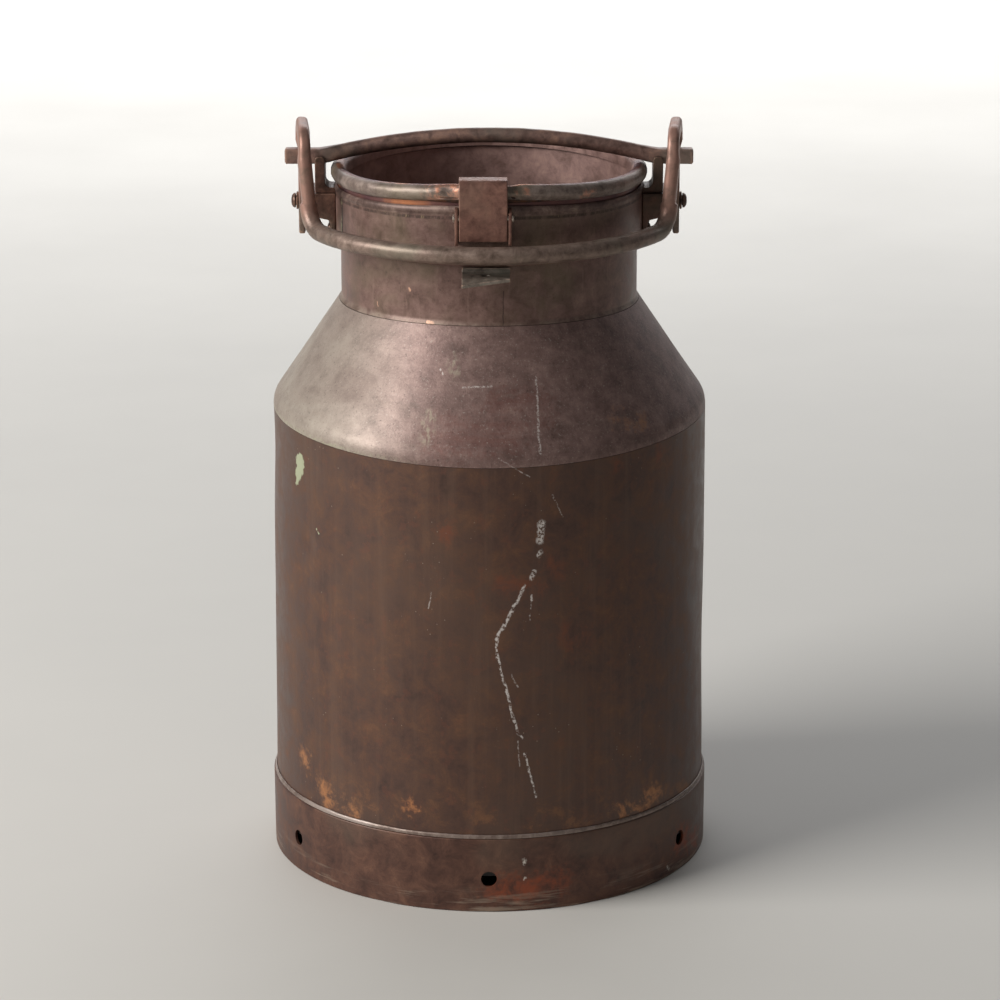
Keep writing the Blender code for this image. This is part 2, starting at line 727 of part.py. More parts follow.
# Front latch and seal lug.
def latch_strap():
    """A hooked strap that reaches over the mouth's bead, with a knuckle on its back."""
    corners = [flat(LATCH_Y, LATCH_BOTTOM), flat(LATCH_Y, LATCH_TOP), flat(LATCH_TIP_Y, LATCH_TOP)]
    middle = rounded(corners, [LATCH_BEND_RADIUS], 5)
    front = offset(middle, LATCH_SHEET / 2)
    back = offset(middle, -LATCH_SHEET / 2)
    reach = LATCH_Y + LATCH_SHEET / 2 - LATCH_PIN_Y
    open_angle = math.degrees(math.acos(reach / KNUCKLE_RADIUS))
    knuckle = arc(flat(LATCH_PIN_Y, LATCH_PIN_Z), KNUCKLE_RADIUS, -open_angle, open_angle, 8)
    outline = list(reversed(front)) + [back[0]] + knuckle + back[1:]
    outline = [(point.x, point.z) for point in outline]
    bore = circle(LATCH_PIN_Y, LATCH_PIN_Z, LATCH_PIN_RADIUS + GAP, 12)
    centre = Vector((LATCH_X, 0.0, 0.0))
    extruded("latch_strap", [outline, bore], LATCH_WIDTH, ONTO_YZ, centre, (0.26, 0.15, 0.11))


def latch_cheek(side, label, clearance):
    """A plate on the collar that holds one end of the latch's pin."""
    corners = [
        flat(-NECK_RADIUS, CHEEK_BOTTOM),
        flat(CHEEK_FACE_Y, CHEEK_BOTTOM),
        flat(CHEEK_FACE_Y, CHEEK_TOP),
        flat(-NECK_RADIUS, CHEEK_TOP),
    ]
    outline = [(point.x, point.z) for point in rounded(corners, [CHEEK_FOOT_CURVE, CHEEK_TOP_CURVE], 3)]
    bore = circle(LATCH_PIN_Y, LATCH_PIN_Z, LATCH_PIN_RADIUS + GAP, 12)
    shift = LATCH_WIDTH / 2 + 2 * GAP + CHEEK_THICKNESS / 2
    centre = Vector((LATCH_X + side * shift, 0.0, 0.0))
    name = f"latch_cheek_{label}"
    cheek = extruded(name, [outline, bore], CHEEK_THICKNESS, ONTO_YZ, centre, (0.24, 0.14, 0.11))
    cut(cheek, clearance)


def latch_pin():
    half = LATCH_WIDTH / 2 + 3 * GAP + CHEEK_THICKNESS
    head = LATCH_PIN_HEAD_RADIUS
    top = [
        flat(0.0, half + LATCH_PIN_HEAD),
        flat(head * 0.8, half + LATCH_PIN_HEAD - GAP / 3),
        flat(head, half + GAP),
        flat(head, half),
        flat(LATCH_PIN_RADIUS, half),
    ]
    bottom = [flat(point.x, -point.z) for point in reversed(top)]
    pin = turned("latch_pin", top + bottom, (0.60, 0.48, 0.38), closed=False, steps=12, roughness=0.35)
    pin.location = (LATCH_X, LATCH_PIN_Y, LATCH_PIN_Z)
    pin.rotation_euler = (0.0, math.radians(90), 0.0)


def seal_lug():
    """An angle on the neck under the bow, bent down at one corner, drilled for a seal wire."""
    back = -NECK_RADIUS - LUG_SHEET / 2 - GAP
    corners = [flat(back, LUG_TOP), flat(back, LUG_PLATE_Z), flat(LUG_TIP_Y, LUG_TIP_Z)]
    middle = rounded(corners, [LUG_BEND_RADIUS], 3)
    loop = offset(middle, LUG_SHEET / 2) + list(reversed(offset(middle, -LUG_SHEET / 2)))
    outline = [(point.x, point.z) for point in loop]
    lug = extruded("seal_lug", [outline], LUG_WIDTH, ONTO_YZ, Vector((LUG_X, 0.0, 0.0)), (0.26, 0.18, 0.14))
    bend_y = back - LUG_BEND_RADIUS
    for vertex in lug.data.vertices:
        depth, height, across = vertex.co
        reach = max(0.0, (bend_y - depth) / (bend_y - LUG_TIP_Y))
        vertex.co = (depth, height + LUG_TILT * reach * across / LUG_WIDTH, across)
    hole_centre = Vector((LUG_X, LUG_HOLE_Y, (LUG_PLATE_Z + LUG_TIP_Z) / 2))
    cut(lug, round_cutter("seal_hole", LUG_HOLE_RADIUS, CUTTER_REACH, hole_centre))


def build():
    foot_skirt()
    foot_solder_seam()
    bottom_pan()
    body_shell()
    shoulder_cone()
    holes = rivet_hole_cutters()
    clearance = collar_clearance()
    neck_tube(holes)
    neck_collar(holes)
    mouth_ring()
    mouth_wire()
    for side, label in ((-1, "left"), (1, "right")):
        ear_bracket(side, label, holes, clearance)
        for index, centre in enumerate(ear_rivet_centres(side)):
            ear_rivet(f"ear_rivet_{label}_{('front', 'back')[index]}", side, centre)
        saddle(side, label, clearance)
        pivot_rivet(side, label)
        pivot_washer(side, label)
        latch_cheek(side, label, clearance)
    crossbar()
    handle_bail()
    latch_strap()
    latch_pin()
    seal_lug()


build()
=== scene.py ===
"""The looks of an old copper milking-machine bucket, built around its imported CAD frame."""

import json
import math

import bmesh
import bpy
from mathutils import Matrix, Vector, noise


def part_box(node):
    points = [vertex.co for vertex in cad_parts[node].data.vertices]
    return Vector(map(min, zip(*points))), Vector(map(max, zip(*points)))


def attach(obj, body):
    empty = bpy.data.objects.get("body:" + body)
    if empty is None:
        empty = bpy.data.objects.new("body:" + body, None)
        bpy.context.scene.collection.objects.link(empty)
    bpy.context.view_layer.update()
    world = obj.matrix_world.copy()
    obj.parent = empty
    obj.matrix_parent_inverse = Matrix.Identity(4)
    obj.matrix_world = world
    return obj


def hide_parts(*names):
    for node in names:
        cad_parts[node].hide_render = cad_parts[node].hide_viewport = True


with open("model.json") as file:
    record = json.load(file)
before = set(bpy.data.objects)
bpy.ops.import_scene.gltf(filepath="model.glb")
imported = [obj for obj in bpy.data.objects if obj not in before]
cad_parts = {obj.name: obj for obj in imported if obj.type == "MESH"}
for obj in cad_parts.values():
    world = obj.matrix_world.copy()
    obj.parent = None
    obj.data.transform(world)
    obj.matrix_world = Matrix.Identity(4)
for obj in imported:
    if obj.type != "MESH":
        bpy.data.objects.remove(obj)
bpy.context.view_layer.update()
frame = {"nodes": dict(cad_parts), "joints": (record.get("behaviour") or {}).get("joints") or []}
JOINTS = {joint["name"]: joint for joint in frame["joints"]}

# Sizes read from the frame, metres.
SKIRT_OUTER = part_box("foot_skirt")[1].x
SKIRT_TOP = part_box("foot_skirt")[1].z
BODY_FOOT_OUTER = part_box("body_shell")[1].x
BODY_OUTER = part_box("shoulder_cone")[1].x
BODY_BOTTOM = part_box("body_shell")[0].z
BODY_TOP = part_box("body_shell")[1].z
CONE_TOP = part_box("shoulder_cone")[1].z
NECK_FOOT_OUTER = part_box("neck_tube")[1].x
NECK_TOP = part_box("neck_tube")[1].z
COLLAR_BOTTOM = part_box("neck_collar")[0].z
COLLAR_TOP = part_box("neck_collar")[1].z
SLEEVE_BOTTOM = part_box("mouth_ring")[0].z
MOUTH_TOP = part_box("mouth_ring")[1].z
MOUTH_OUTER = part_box("mouth_ring")[1].x
PIVOT = Vector(JOINTS["handle_swing"]["pos_m"])
LATCH_LOW, LATCH_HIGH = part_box("latch_strap")

# Sheet and gap of the copper work, and what the boxes don't show.
SHEET = 0.0015
SKIRT_SHEET = 0.0018
GAP = 0.0003
NECK_OUTER = 0.1029
NECK_BEND = 0.4035
SHOULDER_BEND = 0.3262
COLLAR_OUTER = 0.1065
COLLAR_WALL_TOP = 0.4758
COLLAR_ROLL = (0.1037, 0.4788)
SOLDER_STRIP_ANGLE = -71.2
SOLDER_STRIP_WIDTH = 0.0016
VENT_COUNT = 6
VENT_RADIUS = 0.0055
VENT_HEIGHT = 0.0242
STRAP_X = 0.1302
EYE_RADIUS = 0.0037
BEAD_RADIUS = 0.0055
BEAD_SHEET = 0.0013
BEAD_CENTRE = (MOUTH_OUTER - BEAD_RADIUS, MOUTH_TOP - BEAD_RADIUS)
SKIN_STEPS = 256
FINE_SKIN_STEPS = 480
BODY_DENTS = [
    ((-54.6, 0.2450), (0.0075, 0.0055), 0.0014),
    ((-58.0, 0.2330), (0.020, 0.022), 0.0010),
    ((-84.0, 0.2950), (0.040, 0.030), 0.0012),
    ((96.0, 0.1500), (0.050, 0.045), 0.0011),
    ((160.0, 0.2300), (0.030, 0.024), 0.0016),
    ((-140.0, 0.1300), (0.045, 0.020), 0.0013),
]


# Sections and turned skins.
def rounded(points, radii, steps):
    """A polyline with a circular fillet at each corner whose radius isn't zero."""
    result = [points[0]]
    for before, corner, after, radius in zip(points, points[1:], points[2:], radii):
        inward = (corner - before).normalized()
        outward = (after - corner).normalized()
        turn = inward.angle(outward)
        if radius == 0.0 or turn < 0.001:
            result.append(corner)
            continue
        reach = radius * math.tan(turn / 2)
        centre = corner + (outward - inward).normalized() * (radius / math.cos(turn / 2))
        first_spoke = (corner - inward * reach - centre).normalized()
        last_spoke = (corner + outward * reach - centre).normalized()
        for step in range(steps + 1):
            result.append(centre + first_spoke.slerp(last_spoke, step / steps) * radius)
    result.append(points[-1])
    return result


def divided(points, spacing):
    """The same polyline with points no further apart than the spacing."""
    result = [points[0]]
    for start, end in zip(points, points[1:]):
        count = max(1, math.ceil((end - start).length / spacing))
        result += [start.lerp(end, step / count) for step in range(1, count + 1)]
    return result


def flat(radius, height):
    return Vector((radius, 0.0, height))


def arc(centre, radius, start, end, steps):
    """Points on an arc of the section; angles in degrees from outward towards up."""
    points = []
    for step in range(steps + 1):
        angle = math.radians(start + (end - start) * step / steps)
        points.append(flat(centre[0] + radius * math.cos(angle), centre[1] + radius * math.sin(angle)))
    return points


def offset(points, distance):
    """The parallel chain on the left of a section chain, with mitred corners."""
    result = []
    for index, point in enumerate(points):
        before = points[max(index - 1, 0)]
        after = points[min(index + 1, len(points) - 1)]
        inward = (point - before).normalized() if index > 0 else (after - point).normalized()
        outward = (after - point).normalized() if index < len(points) - 1 else inward
        normal_in = flat(-inward.z, inward.x)
        normal_out = flat(-outward.z, outward.x)
        mitre = (normal_in + normal_out).normalized()
        result.append(point + mitre * (distance / mitre.dot(normal_in)))
    return result


def sheet_loop(outer, thickness, edge=0.0004):
    """A sheet's closed section: outer side down, inner side up, with softened ends."""
    inner = list(reversed(offset(outer, -thickness)))
    top_lip = outer[0].lerp(inner[-1], 0.5) + (outer[0] - outer[1]).normalized() * edge
    low_lip = outer[-1].lerp(inner[0], 0.5) + (outer[-1] - outer[-2]).normalized() * edge
    return [top_lip] + outer + [low_lip] + inner


def shaped(name, verts, faces, smooth_angle=35, levels=None):
    """A new object from mesh data, closed and smooth shaded with sharp edges kept."""
    mesh = bpy.data.meshes.new(name)
    mesh.from_pydata(verts, [], faces)
    if levels:
        mesh.attributes.new("level", "FLOAT", "POINT").data.foreach_set("value", levels)
    shape = bmesh.new()
    shape.from_mesh(mesh)
    bmesh.ops.remove_doubles(shape, verts=shape.verts, dist=0.000002)
    bmesh.ops.dissolve_degenerate(shape, dist=0.000002, edges=shape.edges)
    bmesh.ops.recalc_face_normals(shape, faces=shape.faces)
    shape.to_mesh(mesh)
    shape.free()
    mesh.shade_smooth()
    mesh.set_sharp_from_angle(angle=math.radians(smooth_angle))
    piece = bpy.data.objects.new(name, mesh)
    bpy.context.scene.collection.objects.link(piece)
    return piece


def quad(this_ring, next_ring, index, count):
    """The face between two rings of points, from one point to the following one."""
    following = (index + 1) % count
    return (this_ring + index, this_ring + following, next_ring + following, next_ring + index)


def revolved(name, loop, warp=None, steps=SKIN_STEPS):
    """A closed section turned about the can's axis. Angle 0 is the front, 90 the right.

    The mesh keeps each point's height before warping as its level.
    """
    verts = []
    for step in range(steps):
        angle = 360 * step / steps
        for point in loop:
            radius, height = warp(angle, point.x, point.z) if warp else (point.x, point.z)
            turn = math.radians(angle)
            verts.append((radius * math.sin(turn), -radius * math.cos(turn), height))
    faces = []
    count = len(loop)
    for step in range(steps):
        this_ring = step * count
        next_ring = (step + 1) % steps * count
        faces += [quad(this_ring, next_ring, index, count) for index in range(count)]
    return shaped(name, verts, faces, levels=[point.z for point in loop] * steps)


# Unevenness of old sheet metal.
def ripple(angle, height, scale, seed):
    """Smooth noise on the can's surface, about -1 to 1."""
    turn = math.radians(angle)
    point = Vector((math.sin(turn) * scale, -math.cos(turn) * scale, height * scale * 6 + seed))
    return noise.noise(point)


def angle_gap(angle, other):
    """The turn from one angle to the other, from -180 to 180 degrees."""
    return (angle - other + 180) % 360 - 180


def dent(angle, height, centre, reach, depth):
    """How far a dent pushes the surface in; centre is (angle, height), reach (metres, metres)."""
    across = math.radians(angle_gap(angle, centre[0])) * BODY_OUTER / reach[0]
    along = (height - centre[1]) / reach[1]
    return depth * math.exp(-(across ** 2 + along ** 2))


def body_dents(angle, height):
    return sum(dent(angle, height, *shape) for shape in BODY_DENTS)


def near(height, middle, reach):
    """1 at the middle height, falling smoothly to 0 with distance."""
    return math.exp(-((height - middle) / reach) ** 2)


def settled(angle, height):
    """The seams aren't level: the shoulder's dips in front, the mouth's rises there."""
    sway = math.cos(2 * math.radians(angle))
    front = math.exp(-(angle_gap(angle, 0.0) / 38.0) ** 2)
    back = math.exp(-(angle_gap(angle, 180.0) / 50.0) ** 2)
    mouth = min(1.0, max(0.0, (height - 0.4620) / 0.0240))
    height -= 0.0030 * sway * near(height, BODY_TOP, 0.034)
    height += 0.0015 * sway * near(height, CONE_TOP, 0.018)
    return height + mouth * (0.0055 * front + 0.0025 * back - 0.0015)


def vessel_warp(angle, radius, height):
    """The body and shoulder are a little out of round, dented and unlevel at the seams."""
    free = min(1.0, max(0.0, (height - SKIRT_TOP - 0.004) / 0.05))
    free *= min(1.0, max(0.0, (CONE_TOP - height) / 0.03))
    wave = 0.00022 * ripple(angle, height, 1.3, 3.0) + 0.00012 * ripple(angle, height, 3.4, 9.0)
    return radius + free * (wave - 0.00020 - body_dents(angle, height)), settled(angle, height)


def neck_warp(angle, radius, height):
    return radius + 0.00010 * ripple(angle, height, 2.6, 21.0), settled(angle, height)


def foot_skirt():
    corners = [
        flat(SKIRT_OUTER - SKIRT_SHEET, SKIRT_TOP),
        flat(SKIRT_OUTER, SKIRT_TOP),
        flat(SKIRT_OUTER, 0.0004),
    ]
    outer = divided(rounded(corners, [0.0010], 4), 0.004)
    inner = [flat(SKIRT_OUTER - SKIRT_SHEET, 0.0004)]
    skirt = revolved("foot_skirt_skin", outer + inner, skirt_warp)
    for index in range(VENT_COUNT):
        turn = math.tau * index / VENT_COUNT
        middle = Vector((math.sin(turn) * SKIRT_OUTER, -math.cos(turn) * SKIRT_OUTER, VENT_HEIGHT))
        aim = Matrix.Rotation(turn, 4, "Z") @ Matrix.Rotation(math.radians(90), 4, "X")
        drill(skirt, VENT_RADIUS, 0.02, Matrix.Translation(middle) @ aim)
    return skirt


def skirt_warp(angle, radius, height):
    """Round at the seam; the free lower edge is bruised."""
    low = 1.0 - height / SKIRT_TOP
    bruise = 0.00030 * low * ripple(angle, 0.0, 4.0, 31.0) + 0.00008 * ripple(angle, height, 9.0, 2.0)
    pressed = 0.00055 * low * low * max(0.0, ripple(angle, 0.0, 7.5, 51.0))
    return radius - abs(bruise) - pressed, height


def drill(piece, radius, length, place, sides=40):
    """Cuts a round hole through a piece and applies the cut."""
    shape = bmesh.new()
    bmesh.ops.create_cone(shape, cap_ends=True, segments=sides,
                          radius1=radius, radius2=radius, depth=length)
    mesh = bpy.data.meshes.new("drill")
    shape.to_mesh(mesh)
    shape.free()
    cutter = bpy.data.objects.new("drill", mesh)
    cutter.matrix_world = place
    bpy.context.scene.collection.objects.link(cutter)
    boolean = piece.modifiers.new("drill", "BOOLEAN")
    boolean.operation = "DIFFERENCE"
    boolean.solver = "EXACT"
    boolean.object = cutter
    settle(piece)
    bpy.data.objects.remove(cutter, do_unlink=True)


def settle(piece, smooth_angle=35):
    """Turns a piece's modifiers into its own mesh."""
    bpy.context.view_layer.update()
    evaluated = piece.evaluated_get(bpy.context.evaluated_depsgraph_get())
    mesh = bpy.data.meshes.new_from_object(evaluated)
    piece.modifiers.clear()
    piece.data = mesh
    mesh.shade_smooth()
    mesh.set_sharp_from_angle(angle=math.radians(smooth_angle))


def foot_solder_seam():
    """A smooth soldered fillet from the body down to the skirt's rounded edge."""
    foot = SKIRT_TOP + GAP
    corner = flat(BODY_FOOT_OUTER + GAP, foot)
    width = SKIRT_OUTER - corner.x - 0.0006
    rise = 0.0030
    loop = [corner]
    for step in range(9):
        turn = math.radians(90 * step / 8)
        loop.append(flat(corner.x + width * math.sin(turn) ** 1.2, foot + rise * math.cos(turn) ** 0.8))

    def lumpy(angle, radius, height):
        lump = 0.88 + 0.14 * ripple(angle, 0.0, 9.0, 5.0) + 0.07 * ripple(angle, 0.0, 40.0, 8.0)
        lump = min(1.0, max(0.6, lump))
        return corner.x + (radius - corner.x) * lump, corner.z + (height - corner.z) * lump

    return revolved("foot_solder_skin", loop, lumpy, FINE_SKIN_STEPS)


def bottom_pan():
    low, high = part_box("bottom_pan")
    top = [flat(0.0, high.z), flat(0.11, high.z - 0.002), flat(high.x, high.z - 0.002), flat(high.x, low.z)]
    top = divided(rounded(top, [0.0, 0.008], 6), 0.008)
    under = list(reversed(offset(top, -SHEET)))
    under[-1].x = 0.0
    return revolved("bottom_pan_skin", top + under, steps=144)


def body_shell():
    side = divided([flat(BODY_OUTER, BODY_TOP), flat(BODY_FOOT_OUTER, BODY_BOTTOM)], 0.0035)
    return revolved("body_shell_skin", sheet_loop(side, SHEET, 0.0001), vessel_warp)


def cone_side():
    """The cone's outer corners: at the neck's foot, the bend and the seam."""
    slope = (BODY_OUTER - NECK_OUTER) / (NECK_BEND - SHOULDER_BEND)
    return [
        flat(NECK_OUTER + slope * (NECK_BEND - CONE_TOP), CONE_TOP),
        flat(BODY_OUTER, SHOULDER_BEND),
        flat(BODY_OUTER, BODY_TOP + GAP),
    ]


def shoulder_cone():
    side = divided(rounded(cone_side(), [0.020], 12), 0.0035)
    return revolved("shoulder_cone_skin", sheet_loop(side, SHEET, 0.0001), vessel_warp)


def neck_tube():
    """The neck, flared at its foot to meet the cone."""
    foot = cone_side()[0]
    corners = [flat(NECK_OUTER, NECK_TOP), flat(NECK_OUTER, NECK_BEND), flat(foot.x - GAP, foot.z + GAP)]
    side = divided(rounded(corners, [0.005], 6), 0.004)
    return revolved("neck_tube_skin", sheet_loop(side, SHEET, 0.0001), neck_warp)


def neck_collar():
    """The collar band: a rolled lip with a ragged solder line under it, and a turned-in foot."""
    lip = arc(COLLAR_ROLL, COLLAR_TOP - COLLAR_ROLL[1] + 0.0005, 58, -30, 14)
    lower = [
        flat(COLLAR_OUTER, COLLAR_WALL_TOP),
        flat(COLLAR_OUTER, COLLAR_BOTTOM),
        flat(NECK_OUTER + 2 * GAP, COLLAR_BOTTOM),
    ]
    side = lip + divided(rounded(lower, [0.0024], 5), 0.0025)

    def ragged(angle, radius, height):
        level = settled(angle, height)
        if radius <= COLLAR_OUTER - 0.0009:
            return radius, level
        seam = near(height, COLLAR_WALL_TOP - 0.0004, 0.0010)
        lump = max(0.0, ripple(angle, 0.0, 30.0, 12.0) + 0.5 * ripple(angle, 0.0, 70.0, 2.0) + 0.2)
        strip = 0.0
        if height < COLLAR_WALL_TOP:
            away = math.radians(angle_gap(angle, SOLDER_STRIP_ANGLE)) * radius
            raised = 0.0004 + 0.0004 * ripple(angle, height * 5, 20.0, 4.0)
            strip = raised * math.exp(-(away / SOLDER_STRIP_WIDTH) ** 2)
        wave = 0.00010 * ripple(angle, height, 3.5, 14.0)
        return radius + 0.00034 * seam * lump + strip + wave - 0.0001, level

    return revolved("neck_collar_skin", sheet_loop(side, SHEET - GAP, 0.0001), ragged, FINE_SKIN_STEPS)


def mouth_ring():
    """The mouth's curled bead, hammered flat beside the latch and pinched under it."""
    middle = BEAD_RADIUS - BEAD_SHEET / 2
    sleeve = NECK_OUTER + GAP + BEAD_SHEET / 2
    step = NECK_TOP + GAP + BEAD_SHEET / 2
    curl = arc(BEAD_CENTRE, middle, -85, 180, 26)
    inner = curl[-1].x
    throat = [flat(inner, step + BEAD_SHEET / 2), flat(sleeve, step), flat(sleeve, SLEEVE_BOTTOM)]
    section = curl + throat
    loop = offset(section, -BEAD_SHEET / 2) + list(reversed(offset(section, BEAD_SHEET / 2)))
    left_edge = math.degrees(math.asin(LATCH_LOW.x / MOUTH_OUTER))
    right_edge = math.degrees(math.asin(LATCH_HIGH.x / MOUTH_OUTER))
    hidden = (left_edge + right_edge) / 2

    def hammered(angle, radius, height):
        level = settled(angle, height)
        if height < step + BEAD_SHEET or radius < inner + BEAD_SHEET:
            return radius, level
        turn = angle_gap(angle, 0.0)
        flank = math.exp(-(angle_gap(turn, left_edge - 3.5) / 4.5) ** 2)
        pinch = math.exp(-(angle_gap(turn, right_edge + 1.5) / 2.6) ** 2)
        under = math.exp(-(angle_gap(turn, hidden) / 6.5) ** 4)
        outward = radius - BEAD_CENTRE[0]
        upward = height - BEAD_CENTRE[1]
        facets = 0.00022 * ripple(angle, height, 16.0, 6.0) + 0.0001 * ripple(angle, height, 40.0, 2.0)
        squeeze = 1.0 - 0.30 * flank - 0.22 * pinch - 0.25 * under
        stretch = 0.04 * flank - 0.20 * pinch - 0.25 * under
        return BEAD_CENTRE[0] + outward * squeeze + facets - 0.0002, level + upward * stretch + facets * 0.5

    return revolved("mouth_ring_skin", list(reversed(loop)), hammered, FINE_SKIN_STEPS)


# Bars: a section carried along a path.
def bar_ring(centre, side, across, size, squareness, count):
    ring = []
    for index in range(count):
        angle = math.tau * (index + 0.5) / count
        power = 2 / squareness
        reach_side = math.copysign(abs(math.cos(angle)) ** power, math.cos(angle)) * size[0] / 2
        reach_across = math.copysign(abs(math.sin(angle)) ** power, math.sin(angle)) * size[1] / 2
        ring.append(centre + side * reach_side + across * reach_across)
    return ring


def smoothed_stations(stations, spacing):
    """Stations no further apart than the spacing, sections blended between them."""
    result = [stations[0]]
    for (start, size_a, square_a), (end, size_b, square_b) in zip(stations, stations[1:]):
        count = max(1, math.ceil((end - start).length / spacing))
        for step in range(1, count + 1):
            share = step / count
            ease = share * share * (3 - 2 * share)
            size = (size_a[0] + (size_b[0] - size_a[0]) * ease, size_a[1] + (size_b[1] - size_a[1]) * ease)
            result.append((start.lerp(end, share), size, square_a + (square_b - square_a) * ease))
    return result


def forged_bar(name, stations, first_side, seed, spacing=0.003, count=28, rough=0.00012):
    """A bar lofted along its stations, with soft ends and the unevenness of forging."""
    path = smoothed_stations(stations, spacing)
    first, last = path[0], path[-1]
    path.insert(0, (first[0], (first[1][0] * 0.80, first[1][1] * 0.80), first[2]))
    path.append((last[0], (last[1][0] * 0.80, last[1][1] * 0.80), last[2]))
    path[1] = (first[0].lerp(path[2][0], 0.35), first[1], first[2])
    path[-2] = (last[0].lerp(path[-3][0], 0.35), last[1], last[2])
    verts = []
    faces = []
    side = first_side.copy()
    for index, (point, size, squareness) in enumerate(path):
        before = path[max(index - 1, 0)][0]
        after = path[min(index + 1, len(path) - 1)][0]
        tangent = (after - before).normalized()
        side = (side - tangent * side.dot(tangent)).normalized()
        across = tangent.cross(side)
        for corner in bar_ring(point, side, across, size, squareness, count):
            away = (corner - point).normalized()
            bump = noise.noise(corner * 70 + Vector((seed, 0, 0))) + 0.5 * noise.noise(corner * 190)
            verts.append(corner + away * (bump * rough - rough))
    for ring in range(len(path) - 1):
        start = ring * count
        faces += [quad(start, start + count, index, count) for index in range(count)]
    faces.append(tuple(reversed(range(count))))
    faces.append(tuple(range((len(path) - 1) * count, len(path) * count)))
    return shaped(name, verts, faces, 40)


def with_mirror(half):
    """A right half's stations, carried on through their mirror image."""
    mirrored = [(Vector((-point.x, point.y, point.z)), size, square)
                for point, size, square in reversed(half[:-1])]
    return half + mirrored


def crossbar():
    """The arched bar with squared ends."""
    low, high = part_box("crossbar")
    end_size = high.y - low.y
    end_z = low.z + end_size / 2
    end = (end_size, end_size)
    rod = (0.0106, 0.0106)
    kink = Vector((0.1018, 0.0, 0.5012))
    block_end = 0.1165
    neck = 0.1110
    throat = 0.1062
    crown = high.z - rod[1] / 2
    rise = crown - kink.z
    arch_radius = (kink.x ** 2 + rise ** 2) / (2 * rise)
    half = [
        (Vector((high.x, 0.0, end_z)), end, 7.0),
        (Vector((block_end, 0.0, end_z)), end, 6.0),
        (Vector((neck, 0.0, end_z + 0.0010)), (0.0107, 0.0107), 3.6),
        (Vector((throat, 0.0, kink.z - 0.0008)), rod, 2.5),
        (kink, rod, 2.1),
    ]
    arch_steps = 24
    for step in range(1, arch_steps + 1):
        x = kink.x * (1 - step / arch_steps)
        z = crown - arch_radius + math.sqrt(arch_radius ** 2 - x ** 2)
        half.append((Vector((x, 0.0, z)), rod, 2.0))
    return forged_bar("crossbar_forged", with_mirror(half), Vector((0.0, 1.0, 0.0)), 4.0)


def handle_half():
    """The handle's right half: pivot strap, loop round the crossbar's end, leg and bow."""
    strap = ((0.0046, 0.0130), 7.0)
    top = ((0.0084, 0.0104), 3.0)
    leg = ((0.0097, 0.0125), 2.5)
    rod = ((0.0122, 0.0122), 2.0)
    leg_y = -0.0415
    leg_x = 0.1229
    leg_top = Vector((0.1254, leg_y, 0.5030))
    leg_foot = 0.4740
    strap_top = 0.5020
    bend = 0.0125
    bow_bend = 0.017
    strap_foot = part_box("handle_bail")[0].z + 0.0002
    bow_z = 0.4556
    loop_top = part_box("handle_bail")[1].z - top[0][1] / 2
    loop = [
        (Vector((STRAP_X, PIVOT.y, strap_foot)), strap, 0.0),
        (Vector((STRAP_X, PIVOT.y, strap_top)), strap, 0.0),
        (Vector((STRAP_X, PIVOT.y, loop_top)), top, bend),
        (Vector((leg_top.x, leg_y, loop_top)), top, bend),
        (leg_top, leg, 0.0),
        (Vector((leg_x, leg_y, leg_foot)), leg, 0.0),
        (Vector((leg_x, leg_y, bow_z)), rod, bow_bend),
    ]
    first = math.atan2(leg_y, leg_x) - math.radians(9)
    bow_radius = 0.1270
    bow_steps = 30
    for step in range(bow_steps + 1):
        angle = first + (-math.pi / 2 - first) * step / bow_steps
        point = Vector((bow_radius * math.cos(angle), bow_radius * math.sin(angle), bow_z))
        loop.append((point, rod, 0.0))
    stations = []
    for index, (point, (size, square), radius) in enumerate(loop):
        if radius:
            fillet = rounded([loop[index - 1][0], point, loop[index + 1][0]], [radius], 12)[1:-1]
            stations += [(corner, size, square) for corner in fillet]
        else:
            stations.append((point, size, square))
    return stations


def handle_bail():
    bail = forged_bar("handle_forged", with_mirror(handle_half()), Vector((1.0, 0.0, 0.0)), 11.0)
    for side in (-1, 1):
        place = Matrix.Translation(Vector((side * STRAP_X, PIVOT.y, PIVOT.z)))
        drill(bail, EYE_RADIUS, 0.010, place @ Matrix.Rotation(math.radians(90), 4, "Y"), 32)
    return bail


# Small solid fittings, worn round from their CAD shapes.
# Wear: voxel size, rounds of smoothing and height of the bumps.
EAR_WEAR = (0.0006, 5, 0.00012)
SADDLE_WEAR = (0.00045, 5, 0.00010)
CHEEK_WEAR = (0.00035, 4, 0.00008)
LUG_WEAR = (0.0004, 4, 0.00010)
STRAP_WEAR = (0.0004, 6, 0.00012)


def worn(node, piece_name, wear, seed):
    """A CAD node's shape remeshed, its edges worn round and its faces made uneven."""
    voxel, rounding, rough = wear
    source = frame["nodes"][node]
    piece = bpy.data.objects.new(piece_name, source.data.copy())
    piece.data.materials.clear()
    bpy.context.scene.collection.objects.link(piece)
    weld = piece.modifiers.new("weld", "WELD")
    weld.merge_threshold = 0.00001
    remesh = piece.modifiers.new("remesh", "REMESH")
    remesh.mode = "VOXEL"
    remesh.voxel_size = voxel
    smooth = piece.modifiers.new("wear", "SMOOTH")
    smooth.factor = 0.5
    smooth.iterations = rounding
    settle(piece, 60)
    normals = [vertex.normal.copy() for vertex in piece.data.vertices]
    for vertex, normal in zip(piece.data.vertices, normals):
        bump = noise.noise(vertex.co * 120 + Vector((seed, 0, 0))) + 0.5 * noise.noise(vertex.co * 420)
        vertex.co = vertex.co + normal * (bump * rough - rough * 0.5)
    return piece


